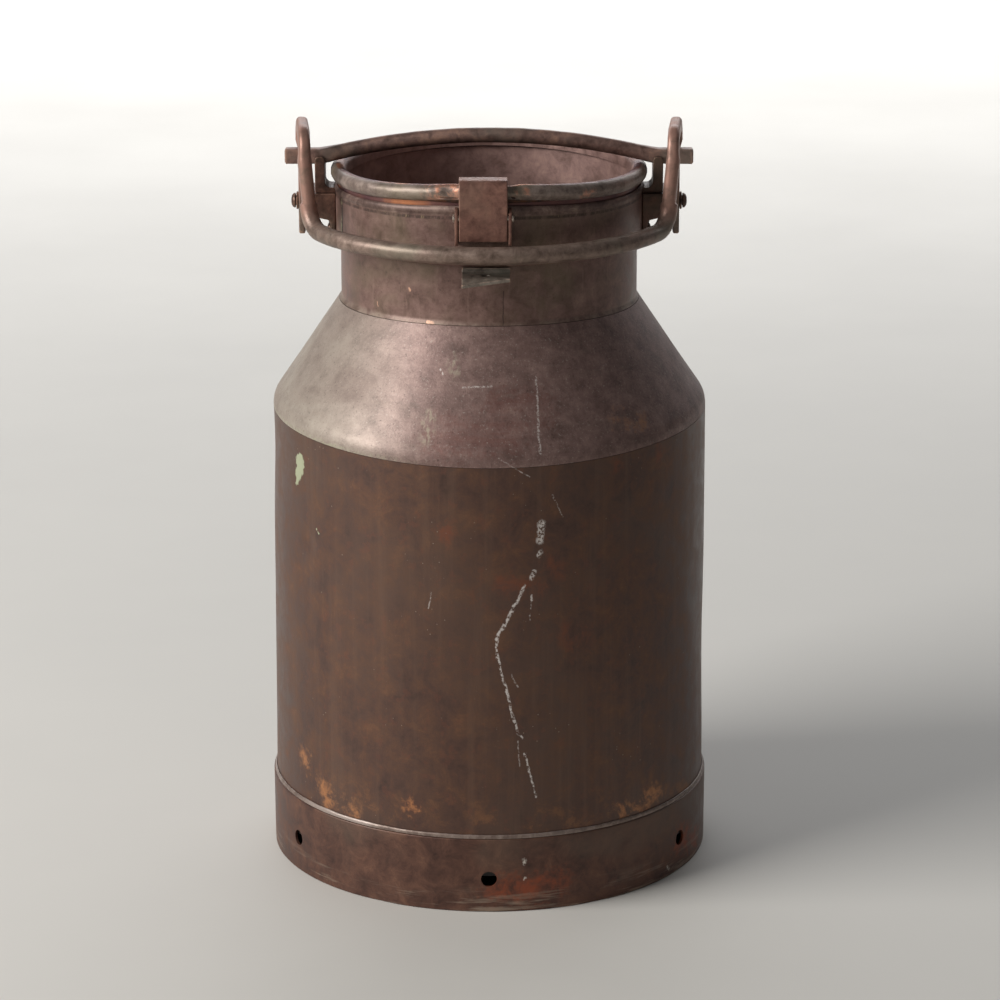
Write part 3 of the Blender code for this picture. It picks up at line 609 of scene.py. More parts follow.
def turned_small(name, profile, place, steps=64, rough=0.00005):
    """A small headed piece: (radius, height) points from one axis end to the other."""
    piece = revolved(name, profile, steps=steps)
    normals = [vertex.normal.copy() for vertex in piece.data.vertices]
    for vertex, normal in zip(piece.data.vertices, normals):
        vertex.co = vertex.co + normal * (noise.noise(vertex.co * 600) * rough)
    piece.data.transform(place)
    return piece


def along_x(side):
    return Matrix.Rotation(side * math.radians(90), 4, "Y")


def turned_place(node, side):
    """A turned piece's outer end, inner end, radius and placing, from its CAD box."""
    low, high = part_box(node)
    root, tip = sorted((abs(low.x), abs(high.x)))
    middle = (low + high) / 2
    place = Matrix.Translation(Vector((0.0, middle.y, middle.z))) @ along_x(side)
    return tip, root, (high.z - low.z) / 2, place


def pivot_rivet(side, label):
    tip, root, head, place = turned_place(f"pivot_rivet_{label}", side)
    shank = 0.0034
    under = tip - 0.0031
    dome = [(0.0, 0.0), (0.35, 0.0001), (0.62, 0.0004), (0.82, 0.0010), (0.94, 0.0017), (1.0, 0.0025)]
    outline = [flat(head * share, tip - drop) for share, drop in dome]
    outline += [flat(head * 0.97, under), flat(shank, under), flat(shank, root), flat(0.0, root)]
    return turned_small(f"pivot_rivet_{label}_turned", outline, place)


def pivot_washer(side, label):
    outer, inner, rim, place = turned_place(f"pivot_washer_{label}", side)
    edge = 0.0003
    outline = [
        flat(EYE_RADIUS, outer),
        flat(rim - edge, outer),
        flat(rim, outer - edge),
        flat(rim, inner + edge),
        flat(rim - edge, inner),
        flat(EYE_RADIUS, inner),
    ]
    return turned_small(f"pivot_washer_{label}_turned", outline, place)


def ear_rivet(side, node):
    tip, root, head, place = turned_place(node, side)
    shank = 0.0024
    dome = 0.0022
    inner_head = 0.0018
    quarter = [math.radians(step) for step in range(0, 91, 15)]
    outline = [flat(head * math.sin(turn), tip - dome * (1 - math.cos(turn))) for turn in quarter]
    outline += [flat(shank, tip - dome), flat(shank, root + inner_head)]
    outline += [flat(head * math.cos(turn), root + inner_head * (1 - math.sin(turn))) for turn in quarter]
    return turned_small(f"{node}_turned", outline, place)


def latch_pin():
    low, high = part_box("latch_pin")
    half = (high.x - low.x) / 2
    head = (high.z - low.z) / 2
    shank = 0.0020
    thick = 0.0013
    dome = [(0.0, 0.0), (0.45, 0.0001), (0.8, 0.0004), (1.0, 0.0009), (1.0, thick)]
    outline = [flat(head * share, half - drop) for share, drop in dome]
    outline.append(flat(shank, half - thick))
    outline += [flat(point.x, -point.z) for point in reversed(outline)]
    place = Matrix.Translation((low + high) / 2) @ along_x(1)
    return turned_small("latch_pin_turned", outline, place)


# Materials.
def srgb(red, green, blue):
    """Display values from 0 to 255 as a linear colour."""
    channels = []
    for value in (red, green, blue):
        share = value / 255
        channels.append(share / 12.92 if share <= 0.04045 else ((share + 0.055) / 1.055) ** 2.4)
    return (*channels, 1.0)


class Nodes:
    """A short way to write nodes into a tree."""

    def __init__(self, tree):
        self.tree = tree

    def node(self, kind, **settings):
        made = self.tree.nodes.new("ShaderNode" + kind)
        for key, value in settings.items():
            setattr(made, key, value)
        return made

    def feed(self, socket, value):
        if isinstance(value, bpy.types.NodeSocket):
            self.tree.links.new(value, socket)
        else:
            socket.default_value = value

    def feed_all(self, made, **values):
        """Feeds inputs by their names, with _ for a space."""
        for key, value in values.items():
            self.feed(made.inputs[key.replace("_", " ")], value)

    def maths(self, operation, first, second=0.0, clamp=False):
        made = self.node("Math", operation=operation, use_clamp=clamp)
        self.feed(made.inputs[0], first)
        self.feed(made.inputs[1], second)
        return made.outputs[0]

    def both(self, first, second):
        """Where both masks hold, or a mask weakened by a number."""
        return self.maths("MULTIPLY", first, second)

    def either(self, first, second):
        return self.maths("MAXIMUM", first, second)

    def vector(self, operation, first, second=None, scale=None):
        made = self.node("VectorMath", operation=operation)
        self.feed(made.inputs[0], first)
        if second is not None:
            self.feed(made.inputs[1], second)
        if scale is not None:
            self.feed(made.inputs["Scale"], scale)
        return made.outputs["Value" if operation in ("DOT_PRODUCT", "LENGTH") else "Vector"]

    def span(self, value, low, high, to_low=0.0, to_high=1.0):
        """A smooth step of the value from low to high."""
        made = self.node("MapRange", interpolation_type="SMOOTHSTEP")
        self.feed_all(made, Value=value, From_Min=low, From_Max=high, To_Min=to_low, To_Max=to_high)
        return made.outputs["Result"]


class Graph(Nodes):
    """One material: masks, and colours painted one over another."""

    def __init__(self, name):
        self.material = bpy.data.materials.new(name)
        self.material.use_nodes = True
        super().__init__(self.material.node_tree)
        self.shader = self.tree.nodes["Principled BSDF"]
        self.colour = None
        self.spot = self.node("TexCoord").outputs["Object"]
        parts = self.node("SeparateXYZ")
        self.feed(parts.inputs[0], self.spot)
        self.across, self.depth, self.height = parts.outputs
        self.laid = self.unrolled()

    def unrolled(self):
        """The can's surface laid flat: arc length from the front line, 0, height."""
        turn = self.maths("ARCTAN2", self.across, self.both(self.depth, -1.0))
        laid = self.node("CombineXYZ")
        self.feed_all(laid, X=self.both(turn, BODY_OUTER), Z=self.height)
        return laid.outputs[0]

    def noise(self, scale, detail=4.0, rough=0.6, distortion=0.0, at=None):
        made = self.node("TexNoise")
        at = self.spot if at is None else at
        self.feed_all(made, Vector=at, Scale=scale, Detail=detail, Roughness=rough, Distortion=distortion)
        return made.outputs["Fac"]

    def streaks(self, across, along, scale, detail, rough):
        """Noise scaled apart across the can's axis and along it."""
        at = self.vector("MULTIPLY", self.spot, (across, across, along))
        return self.noise(scale, detail, rough, at=at)

    def pits(self, scale):
        """0 at scattered points, growing to 1 away from them."""
        made = self.node("TexVoronoi")
        self.feed_all(made, Vector=self.spot, Scale=scale)
        return made.outputs["Distance"]

    def ramp(self, value, *stops):
        """Colours along a value; each stop is its place and its display colour."""
        made = self.node("ValToRGB")
        self.feed(made.inputs["Fac"], value)
        elements = made.color_ramp.elements
        while len(elements) < len(stops):
            elements.new(0.5)
        for element, (position, *display) in zip(elements, stops):
            element.position = position
            element.color = srgb(*display)
        return made.outputs["Color"]

    def cover(self, share, colour):
        """Lays a colour over what is already there."""
        made = self.node("Mix", data_type="RGBA")
        self.feed(made.inputs[0], share)
        self.feed(made.inputs[6], self.colour)
        self.feed(made.inputs[7], colour)
        self.colour = made.outputs[2]

    def paint(self, share, *display):
        self.cover(share, srgb(*display))

    def band(self, low, high, soft):
        """1 between two levels, the heights before warping, so that it follows unlevel seams."""
        level = self.node("Attribute", attribute_name="level").outputs["Fac"]
        above = self.span(level, low - soft, low + soft)
        below = self.span(level, high - soft, high + soft, 1.0, 0.0)
        return self.both(above, below)

    def axis_distance(self):
        return self.vector("LENGTH", self.vector("MULTIPLY", self.spot, (1.0, 1.0, 0.0)))

    def inside(self, outer, mottle):
        """A smooth mauve brown on everything within the sheet's outer face."""
        share = self.span(self.axis_distance(), outer - SHEET * 0.9, outer - SHEET * 0.4, 1.0, 0.0)
        mauve = self.ramp(mottle, (0.35, 124, 98, 90), (0.52, 152, 122, 115), (0.68, 172, 140, 128))
        self.cover(share, mauve)

    def pocks(self, grain, strength):
        """The small dark hollows of the grain."""
        return self.both(self.span(grain, 0.30, 0.42, 1.0, 0.0), strength)

    def marks(self, strokes, wobble=0.0012, soft=0.45):
        """1 on the strokes, each ((angle, height), (angle, height), radius), and 0 off them."""
        shift = self.node("TexNoise")
        self.feed_all(shift, Vector=self.spot, Scale=260.0)
        centred = self.vector("SUBTRACT", shift.outputs["Color"], (0.5, 0.5, 0.5))
        point = self.vector("ADD", self.laid, self.vector("SCALE", centred, scale=wobble * 2))
        total = None
        for start, end, radius in strokes:
            stroke = self.node("Group", node_tree=stroke_group())
            self.feed_all(stroke, Point=point, Start=laid_flat(start), End=laid_flat(end))
            self.feed_all(stroke, Radius=radius, Core=radius * soft)
            total = stroke.outputs[0] if total is None else self.either(total, stroke.outputs[0])
        return total

    def bump(self, *layers):
        """Stacked bumps, each (height, distance in metres, strength)."""
        normal = None
        for height, distance, strength in layers:
            made = self.node("Bump")
            self.feed_all(made, Height=height, Distance=distance, Strength=strength)
            if normal is not None:
                self.feed(made.inputs["Normal"], normal)
            normal = made.outputs["Normal"]
        self.feed(self.shader.inputs["Normal"], normal)

    def finish(self, rough, metallic):
        self.feed_all(self.shader, Base_Color=self.colour, Roughness=rough, Metallic=metallic)
        return self.material


def laid_flat(place):
    angle, height = place
    return (math.radians(angle) * BODY_OUTER, 0.0, height)


def stroke_group():
    """A node group that is 1 inside a round-ended stroke and falls to 0 at its edge."""
    if "stroke" in bpy.data.node_groups:
        return bpy.data.node_groups["stroke"]
    group = bpy.data.node_groups.new("stroke", "ShaderNodeTree")
    for name in ("Point", "Start", "End"):
        group.interface.new_socket(name, in_out="INPUT", socket_type="NodeSocketVector")
    for name in ("Radius", "Core"):
        group.interface.new_socket(name, in_out="INPUT", socket_type="NodeSocketFloat")
    group.interface.new_socket("Mark", in_out="OUTPUT", socket_type="NodeSocketFloat")
    given = group.nodes.new("NodeGroupInput").outputs
    result = group.nodes.new("NodeGroupOutput").inputs["Mark"]
    nodes = Nodes(group)
    along = nodes.vector("SUBTRACT", given["End"], given["Start"])
    reach = nodes.vector("SUBTRACT", given["Point"], given["Start"])
    ahead = nodes.vector("DOT_PRODUCT", reach, along)
    share = nodes.maths("DIVIDE", ahead, nodes.vector("DOT_PRODUCT", along, along), clamp=True)
    nearest = nodes.vector("SCALE", along, scale=share)
    distance = nodes.vector("LENGTH", nodes.vector("SUBTRACT", reach, nearest))
    nodes.feed(result, nodes.span(distance, given["Core"], given["Radius"], 1.0, 0.0))
    return group


def chains(*trails):
    """Strokes along each trail, given as (radius, place, place, ...)."""
    return [(start, end, radius) for radius, *places in trails for start, end in zip(places, places[1:])]


# Marks on the can: places are (degrees round from the front, height), radii in metres.
CHALK_TRAIL = [
    ((13.6, 0.2776), (13.1, 0.2650), 0.0034),
    ((13.3, 0.2572), (12.8, 0.2550), 0.0022),
    ((11.6, 0.2439), (10.9, 0.2394), 0.0022),
    ((10.9, 0.2272), (11.1, 0.2237), 0.0013),
]
CHALK_TRAIL += chains(
    (0.0015, (9.2, 0.2344), (8.0, 0.2274), (6.0, 0.2173), (3.9, 0.2067), (2.0, 0.1975), (2.1, 0.1869)),
    (0.0012, (2.1, 0.1869), (3.7, 0.1670), (5.2, 0.1537), (6.6, 0.1373), (7.6, 0.1290), (8.5, 0.1259)),
    (0.0011, (9.3, 0.1142), (10.6, 0.0991), (12.2, 0.0825)),
)
FINE_SCRATCHES = chains(
    (0.0007, (10.9, 0.2237), (10.5, 0.2103)),
    (0.0008, (5.7, 0.1714), (7.4, 0.1628)),
    (0.0007, (-14.7, 0.2286), (-15.5, 0.2174)),
    (0.0007, (16.3, 0.2967), (19.1, 0.2804)),
    (0.0006, (2.5, 0.3234), (6.0, 0.3176), (10.4, 0.3102)),
    (0.0007, (7.4, 0.1239), (7.9, 0.1054)),
    (0.0006, (118.0, 0.2600), (131.0, 0.2150)),
    (0.0008, (-120.0, 0.1900), (-112.0, 0.1400)),
    (0.0008, (172.0, 0.2900), (176.0, 0.2300), (171.0, 0.1900)),
)
CONE_TRAIL = chains(
    (0.0012, (14.9, 0.3706), (14.4, 0.3564), (13.8, 0.3452), (13.3, 0.3348), (13.2, 0.3254)),
    (0.0008, (-15.7, 0.3755), (-14.5, 0.3727)),
    (0.0009, (-7.8, 0.3653), (1.1, 0.3668)),
    (0.0009, (140.0, 0.3500), (152.0, 0.3380)),
    (0.0007, (-100.0, 0.3700), (-96.0, 0.3400)),
)
CONE_RED = [((-13.6, 0.3348), (6.0, 0.3370), 0.020), ((2.1, 0.3550), (15.9, 0.3527), 0.017)]
CONE_PALE = [((-16.8, 0.3470), (-16.6, 0.3347), 0.008), ((-11.3, 0.3804), (-10.7, 0.3757), 0.007)]
CONE_TAN = [((37.2, 0.3397), (44.8, 0.3360), 0.010), ((-130.0, 0.3500), (-120.0, 0.3460), 0.012)]
SEAM_LINE = [((5.5, 0.4260), (5.4, 0.4030), 0.0011)]
NECK_KNOCKS = [
    ((-31.4, 0.4245), (-31.2, 0.4235), 0.0016),
    ((-23.5, 0.4030), (-21.0, 0.4022), 0.0018),
    ((-47.5, 0.4110), (-47.0, 0.4080), 0.0007),
]
COLLAR_STRIP = [((SOLDER_STRIP_ANGLE, 0.4750), (SOLDER_STRIP_ANGLE, 0.4440), 0.0040)]
COLLAR_SHADE = [((-70.2, 0.4700), (-70.4, 0.4480), 0.0016)]
BEAD_BARE = [
    ((-21.4, 0.4947), (-12.1, 0.4955), 0.0100),
    ((10.0, 0.4950), (12.9, 0.4940), 0.0060),
    ((35.5, 0.4889), (41.4, 0.4884), 0.0050),
]
SKIRT_RED = [((2.1, 0.0160), (17.9, 0.0182), 0.015), ((60.0, 0.0218), (70.6, 0.0129), 0.015)]
SKIRT_CHALK = [
    ((8.9, 0.0376), (9.1, 0.0350), 0.0020),
    ((9.3, 0.0251), (9.0, 0.0230), 0.0012),
    ((53.7, 0.0079), (54.6, 0.0055), 0.0018),
]
PALE_CHIPS = [
    ((-58.3, 0.3014), (-59.1, 0.2937), 0.0060),
    ((-59.8, 0.2889), (-59.9, 0.2844), 0.0024),
    ((-50.4, 0.2563), (-50.2, 0.2548), 0.0013),
    ((-2.4, 0.3217), (-2.0, 0.3207), 0.0014),
    ((101.0, 0.2210), (101.8, 0.2160), 0.0035),
    ((-158.0, 0.2700), (-157.0, 0.2660), 0.0040),
]
RED_SPOTS = [
    ((-10.8, 0.2712), (-10.7, 0.2697), 0.0085),
    ((34.6, 0.3108), (34.6, 0.3098), 0.0065),
    ((49.5, 0.3191), (49.6, 0.3080), 0.0055),
    ((16.4, 0.2477), (17.4, 0.2435), 0.0110),
    ((4.1, 0.2341), (13.9, 0.2296), 0.0120),
    ((19.8, 0.1977), (23.8, 0.1942), 0.0140),
    ((-20.2, 0.0742), (-19.7, 0.0736), 0.0090),
    ((150.0, 0.1600), (158.0, 0.1500), 0.0150),
]
TAN_STAINS = [
    ((-58.2, 0.0879), (-56.7, 0.0820), 0.0085),
    ((-49.2, 0.0715), (-47.2, 0.0606), 0.0100),
    ((-42.7, 0.0657), (-37.2, 0.0586), 0.0100),
    ((-20.7, 0.0756), (-19.7, 0.0716), 0.0070),
    ((35.9, 0.0608), (49.9, 0.0660), 0.0110),
    ((120.0, 0.0700), (135.0, 0.0650), 0.0120),
    ((-150.0, 0.0720), (-135.0, 0.0640), 0.0110),
]


def body_copper():
    """Dark brown oxidised sheet: red freckles, vertical wiping, tan stains and a chalk trail."""
    graph = Graph("body_copper")
    broad = graph.noise(9.0, 3.0, 0.55, 0.6)
    mottle = graph.noise(55.0, 9.0, 0.72, 0.3)
    grain = graph.noise(520.0, 4.0, 0.7)
    wiping = graph.streaks(1.0, 0.05, 95.0, 5.0, 0.6)
    graph.colour = graph.ramp(
        mottle,
        (0.28, 60, 42, 36),
        (0.46, 84, 60, 51),
        (0.58, 98, 70, 56),
        (0.74, 122, 86, 64),
    )
    graph.paint(graph.span(broad, 0.42, 0.68, 0.0, 0.45), 96, 74, 62)
    graph.paint(graph.span(wiping, 0.45, 0.75, 0.0, 0.28), 120, 92, 74)
    freckles = graph.both(graph.span(graph.noise(130.0, 5.0, 0.6), 0.56, 0.66), 0.16)
    graph.paint(freckles, 128, 74, 54)
    red = graph.marks(RED_SPOTS, 0.006, 0.1)
    red = graph.both(red, graph.span(mottle, 0.40, 0.64, 0.05, 0.5))
    graph.paint(red, 134, 72, 50)
    low = graph.both(graph.span(graph.height, 0.053, 0.095, 1.0, 0.0), graph.span(broad, 0.35, 0.6))
    low = graph.both(low, graph.span(mottle, 0.50, 0.64))
    stains = graph.both(graph.marks(TAN_STAINS, 0.010, 0.0), graph.span(mottle, 0.42, 0.56))
    stains = graph.either(stains, graph.both(low, 0.30))
    graph.paint(graph.both(stains, 0.75), 186, 128, 84)
    specks = graph.span(graph.pits(210.0), 0.05, 0.10, 1.0, 0.0)
    specks = graph.both(specks, graph.span(graph.noise(24.0), 0.52, 0.62))
    graph.paint(graph.both(specks, 0.55), 176, 160, 142)
    chips = graph.marks(PALE_CHIPS, 0.0045, 0.7)
    graph.paint(chips, 172, 176, 146)
    chalk = graph.both(graph.marks(CHALK_TRAIL, 0.0016, 0.35), graph.span(grain, 0.43, 0.54))
    faint = graph.both(graph.marks(FINE_SCRATCHES, 0.0008, 0.3), graph.span(grain, 0.42, 0.60, 0.0, 0.6))
    chalk = graph.either(chalk, faint)
    graph.paint(chalk, 204, 196, 190)
    # Painted shade: the body inside the skirt, seen through the vent holes, is painted near black.
    graph.paint(graph.span(graph.height, SKIRT_TOP - 0.004, SKIRT_TOP, 1.0, 0.0), 22, 17, 15)
    rough = graph.span(mottle, 0.3, 0.7, 0.36, 0.52)
    rough = graph.maths("ADD", rough, graph.both(chalk, 0.3), clamp=True)
    relief = graph.noise(30.0, 3.0, 0.5)
    graph.bump((relief, 0.0016, 0.35), (mottle, 0.0004, 0.35), (grain, 0.00010, 0.5))
    metallic = graph.both(graph.span(mottle, 0.3, 0.7, 0.25, 0.5), graph.maths("SUBTRACT", 1.0, chalk))
    return graph.finish(rough, metallic)


def cone_copper():
    """The shoulder: greyer, with spun rings, fine pitting and a red patch in front; its lit left side gets
    painted sheen and a painted highlight along the seam.
    """
    graph = Graph("cone_copper")
    broad = graph.noise(11.0, 3.0, 0.6, 0.8)
    mottle = graph.noise(70.0, 9.0, 0.75, 0.2)
    grain = graph.noise(640.0, 4.0, 0.75)
    rings = graph.streaks(0.06, 1.0, 210.0, 5.0, 0.65)
    graph.colour = graph.ramp(
        mottle,
        (0.30, 92, 72, 66),
        (0.48, 122, 97, 91),
        (0.60, 138, 112, 105),
        (0.76, 158, 134, 124),
    )
    # Painted sheen: a pale grey film laid only over the lit left side of the shoulder.
    left = graph.span(graph.across, -0.130, -0.030, 1.0, 0.0)
    film = graph.both(left, graph.span(mottle, 0.30, 0.65, 0.50, 0.75))
    graph.paint(film, 176, 168, 154)
    red = graph.marks(CONE_RED, 0.02, 0.0)
    red = graph.both(red, graph.span(rings, 0.35, 0.62, 0.25, 0.95))
    graph.paint(graph.both(red, 0.6), 116, 70, 62)
    graph.paint(graph.span(broad, 0.48, 0.72, 0.0, 0.3), 96, 70, 64)
    graph.paint(graph.span(rings, 0.52, 0.72, 0.0, 0.14), 164, 146, 132)
    pale = graph.marks(CONE_PALE, 0.006, 0.0)
    vertical = graph.span(graph.streaks(1.0, 0.08, 330.0, 3.0, 0.6), 0.42, 0.58)
    graph.paint(graph.both(graph.both(pale, vertical), 0.5), 172, 164, 142)
    tan = graph.marks(CONE_TAN, 0.010, 0.0)
    graph.paint(graph.both(tan, graph.span(mottle, 0.42, 0.6)), 160, 116, 88)
    # Painted highlight: a pale line along the shoulder seam, on the lit left side only, broken up by noise.
    edge = graph.both(graph.band(BODY_TOP - 0.001, BODY_TOP + 0.0030, 0.0012), left)
    edge = graph.both(edge, graph.span(graph.noise(420.0, 3.0, 0.6), 0.44, 0.60))
    graph.paint(graph.both(edge, 0.7), 168, 164, 140)
    flecks = graph.both(graph.span(grain, 0.58, 0.70), 0.6)
    graph.paint(flecks, 178, 168, 158)
    graph.paint(graph.pocks(grain, 0.6), 44, 30, 26)
    chalk = graph.both(graph.marks(CONE_TRAIL, 0.0014, 0.3), graph.span(grain, 0.42, 0.56))
    fine = graph.marks(FINE_SCRATCHES, 0.0008, 0.3)
    chalk = graph.either(chalk, graph.both(fine, graph.span(grain, 0.42, 0.6, 0.0, 0.7)))
    graph.paint(graph.both(chalk, 0.8), 206, 196, 190)
    graph.inside(NECK_FOOT_OUTER, mottle)
    rough = graph.span(broad, 0.35, 0.65, 0.42, 0.56)
    graph.bump((rings, 0.0003, 0.25), (mottle, 0.0004, 0.35), (grain, 0.00022, 0.8))
    return graph.finish(rough, 0.35)


def neck_graph(name):
    """Green-brown mottling and vertical rubbing, shared by the neck and its collar."""
    graph = Graph(name)
    mottle = graph.noise(80.0, 9.0, 0.72, 0.3)
    grain = graph.noise(560.0, 4.0, 0.75)
    broad = graph.noise(16.0, 3.0, 0.6, 0.5)
    rubbing = graph.streaks(1.0, 0.10, 230.0, 5.0, 0.65)
    graph.colour = graph.ramp(
        mottle,
        (0.30, 82, 60, 52),
        (0.46, 110, 84, 76),
        (0.58, 127, 99, 91),
        (0.76, 150, 122, 110),
    )
    graph.paint(graph.span(broad, 0.45, 0.68, 0.0, 0.45), 112, 100, 78)
    graph.paint(graph.span(rubbing, 0.56, 0.76, 0.0, 0.28), 160, 130, 118)
    graph.paint(graph.pocks(grain, 0.45), 48, 35, 31)
    return graph, mottle, grain


def neck_copper():
    """The neck: a soldered seam in front, a few bright knocks and a painted sheen at its foot."""
    graph, mottle, grain = neck_graph("neck_copper")
    graph.paint(graph.both(graph.marks(SEAM_LINE, 0.0010, 0.1), 0.6), 40, 28, 24)
    graph.paint(graph.marks(NECK_KNOCKS, 0.0020, 0.2), 206, 160, 134)
    # Painted sheen: the neck's foot, just above the cone, is painted paler.
    foot = graph.span(graph.height, CONE_TOP + 0.0005, CONE_TOP + 0.0050, 1.0, 0.0)
    graph.paint(graph.both(foot, graph.span(mottle, 0.40, 0.60, 0.1, 0.6)), 150, 136, 122)
    graph.inside(NECK_OUTER, mottle)
    graph.bump((mottle, 0.0005, 0.35), (grain, 0.00014, 0.5))
    return graph.finish(graph.span(mottle, 0.3, 0.7, 0.38, 0.54), 0.35)


def collar_copper():
    """The collar: a dark worn lip over a ragged solder line, and a greenish solder strip."""
    graph, mottle, grain = neck_graph("collar_copper")
    strip = graph.marks(COLLAR_STRIP, 0.003, 0.1)
    strip = graph.both(strip, graph.span(graph.noise(300.0, 4.0, 0.7), 0.42, 0.56))
    graph.paint(strip, 158, 154, 122)
    graph.paint(graph.marks(COLLAR_SHADE, 0.0010, 0.1), 38, 28, 24)
    lip = graph.band(COLLAR_WALL_TOP + 0.0002, COLLAR_TOP + 0.01, 0.0003)
    graph.cover(lip, graph.ramp(mottle, (0.35, 70, 52, 48), (0.52, 110, 88, 80), (0.66, 146, 124, 112)))
    ragged = graph.streaks(1.0, 0.4, 210.0, 4.0, 0.7)
    gold = graph.band(COLLAR_WALL_TOP - 0.0022, COLLAR_WALL_TOP - 0.0002, 0.0005)
    graph.paint(graph.both(gold, graph.span(ragged, 0.34, 0.56, 0.1, 0.75)), 52, 38, 32)
    graph.paint(graph.both(gold, graph.span(ragged, 0.58, 0.68, 0.0, 0.6)), 152, 130, 102)
    graph.bump((mottle, 0.0006, 0.4), (grain, 0.00014, 0.5))
    return graph.finish(graph.span(mottle, 0.3, 0.7, 0.38, 0.54), 0.35)


def skirt_copper():
    """The foot: darker brown, redder by the front hole, scuffed near the floor."""
    graph = Graph("skirt_copper")
    mottle = graph.noise(60.0, 9.0, 0.72, 0.4)
    broad = graph.noise(10.0, 3.0, 0.6, 0.5)
    grain = graph.noise(540.0, 4.0, 0.7)
    rubbing = graph.streaks(0.08, 1.0, 260.0, 5.0, 0.65)
    graph.colour = graph.ramp(
        mottle,
        (0.30, 58, 38, 32),
        (0.47, 86, 58, 48),
        (0.60, 104, 72, 58),
        (0.78, 134, 98, 76),
    )
    graph.paint(graph.span(broad, 0.46, 0.66, 0.0, 0.5), 100, 82, 70)
    red = graph.marks(SKIRT_RED, 0.012, 0.0)
    graph.paint(graph.both(red, graph.span(mottle, 0.38, 0.60, 0.1, 0.8)), 150, 72, 42)
    scuffs = graph.both(graph.span(graph.height, 0.002, 0.022, 1.0, 0.0), graph.span(rubbing, 0.50, 0.66))
    graph.paint(graph.both(scuffs, 0.6), 164, 146, 128)
    chalk = graph.marks(SKIRT_CHALK, 0.0020, 0.2)
    chalk = graph.both(chalk, graph.span(grain, 0.42, 0.54))
    graph.paint(chalk, 206, 198, 188)
    rough = graph.span(mottle, 0.3, 0.7, 0.38, 0.55)
    graph.bump((mottle, 0.0005, 0.4), (rubbing, 0.0002, 0.3), (grain, 0.00012, 0.5))
    return graph.finish(rough, 0.35)


def bead_copper():
    """The mouth's bead: grey-brown, with bright hammered copper beside the latch, and painted shade and
    sheen on the sleeve under it.
    """
    graph = Graph("bead_copper")
    mottle = graph.noise(110.0, 8.0, 0.7, 0.3)
    broad = graph.noise(22.0, 3.0, 0.6)
    grain = graph.noise(620.0, 4.0, 0.75)
    graph.colour = graph.ramp(
        mottle,
        (0.32, 92, 76, 68),
        (0.50, 134, 118, 109),
        (0.66, 162, 146, 136),
    )
    graph.paint(graph.span(broad, 0.48, 0.66, 0.0, 0.55), 128, 116, 96)
    # Painted shade and sheen: the sleeve under the bead is painted a darker purple-brown, with patches of
    # painted orange sheen.
    sleeve = graph.span(graph.axis_distance(), NECK_OUTER + 0.0022, NECK_OUTER + 0.0030, 1.0, 0.0)
    graph.cover(sleeve, graph.ramp(broad, (0.38, 84, 54, 60), (0.52, 118, 78, 70), (0.66, 176, 112, 74)))
    bare = graph.marks(BEAD_BARE, 0.004, 0.2)
    bare = graph.both(bare, graph.span(mottle, 0.44, 0.60))
    graph.paint(bare, 206, 146, 120)
    graph.inside(BEAD_CENTRE[0] - 0.0030, mottle)
    graph.paint(graph.pocks(grain, 0.5), 50, 36, 32)
    rough = graph.maths("SUBTRACT", graph.span(mottle, 0.3, 0.7, 0.34, 0.5), graph.both(bare, 0.08))
    graph.bump((mottle, 0.0006, 0.45), (grain, 0.00014, 0.5))
    metallic = graph.maths("ADD", 0.4, graph.both(bare, 0.45), clamp=True)
    return graph.finish(rough, metallic)


def bronze_graph(name, dark, middle, light, film, shift, rub):
    """Forged or cast fittings: brown bronze with a green-grey film, rubbed where hands go."""
    graph = Graph(name)
    moved = graph.vector("ADD", graph.spot, (shift, 0.0, 0.0))
    mottle = graph.noise(120.0, 9.0, 0.7, 0.4, at=moved)
    broad = graph.noise(26.0, 3.0, at=moved)
    grain = graph.noise(700.0, 4.0, 0.75, at=moved)
    graph.colour = graph.ramp(mottle, (0.30, *dark), (0.50, *middle), (0.72, *light))
    graph.paint(graph.span(broad, 0.45, 0.66, 0.0, 0.5), *film)
    edges = graph.node("NewGeometry").outputs["Pointiness"]
    rubbed = graph.both(graph.span(edges, 0.515, 0.58), rub)
    graph.paint(graph.both(rubbed, graph.span(mottle, 0.38, 0.55)), 196, 156, 132)
    graph.paint(graph.pocks(grain, 0.5), *dark)
    graph.bump((mottle, 0.0004, 0.4), (grain, 0.00014, 0.5))
    return graph, mottle


def worn_bronze(*looks):
    graph, mottle = bronze_graph(*looks)
    return graph.finish(graph.span(mottle, 0.3, 0.7, 0.36, 0.55), 0.45)


def handle_bronze():
    """The handle: green-brown round bow, its legs rubbed to a pinker copper."""
    tones = (86, 70, 60), (128, 108, 97), (160, 140, 128), (124, 118, 102)
    graph, mottle = bronze_graph("handle_bronze", *tones, 12.0, 0.6)
    reach = graph.maths("ABSOLUTE", graph.across)
    legs = graph.both(graph.span(reach, 0.112, 0.121), graph.span(graph.height, 0.458, 0.472))
    legs = graph.both(legs, graph.span(mottle, 0.32, 0.60, 0.35, 0.9))
    graph.paint(legs, 166, 126, 112)
    return graph.finish(graph.span(mottle, 0.3, 0.7, 0.36, 0.52), 0.45)


def old_solder():
    """Dull grey solder with brown dirt, and patches of painted highlight towards the lit left."""
    graph = Graph("old_solder")
    mottle = graph.noise(180.0, 8.0, 0.7, 0.5)
    broad = graph.noise(14.0, 2.0, 0.5)
    graph.colour = graph.ramp(mottle, (0.32, 78, 60, 52), (0.50, 112, 92, 82), (0.68, 150, 134, 124))
    # Painted highlight: pale patches laid more heavily towards the lit left side.
    left = graph.span(graph.across, -0.090, 0.090, 0.75, 0.25)
    painted_highlight = graph.both(left, graph.span(broad, 0.40, 0.62, 0.2, 1.0))
    graph.paint(painted_highlight, 172, 158, 150)
    graph.bump((mottle, 0.0003, 0.35))
    return graph.finish(graph.span(mottle, 0.3, 0.7, 0.46, 0.36), 0.4)


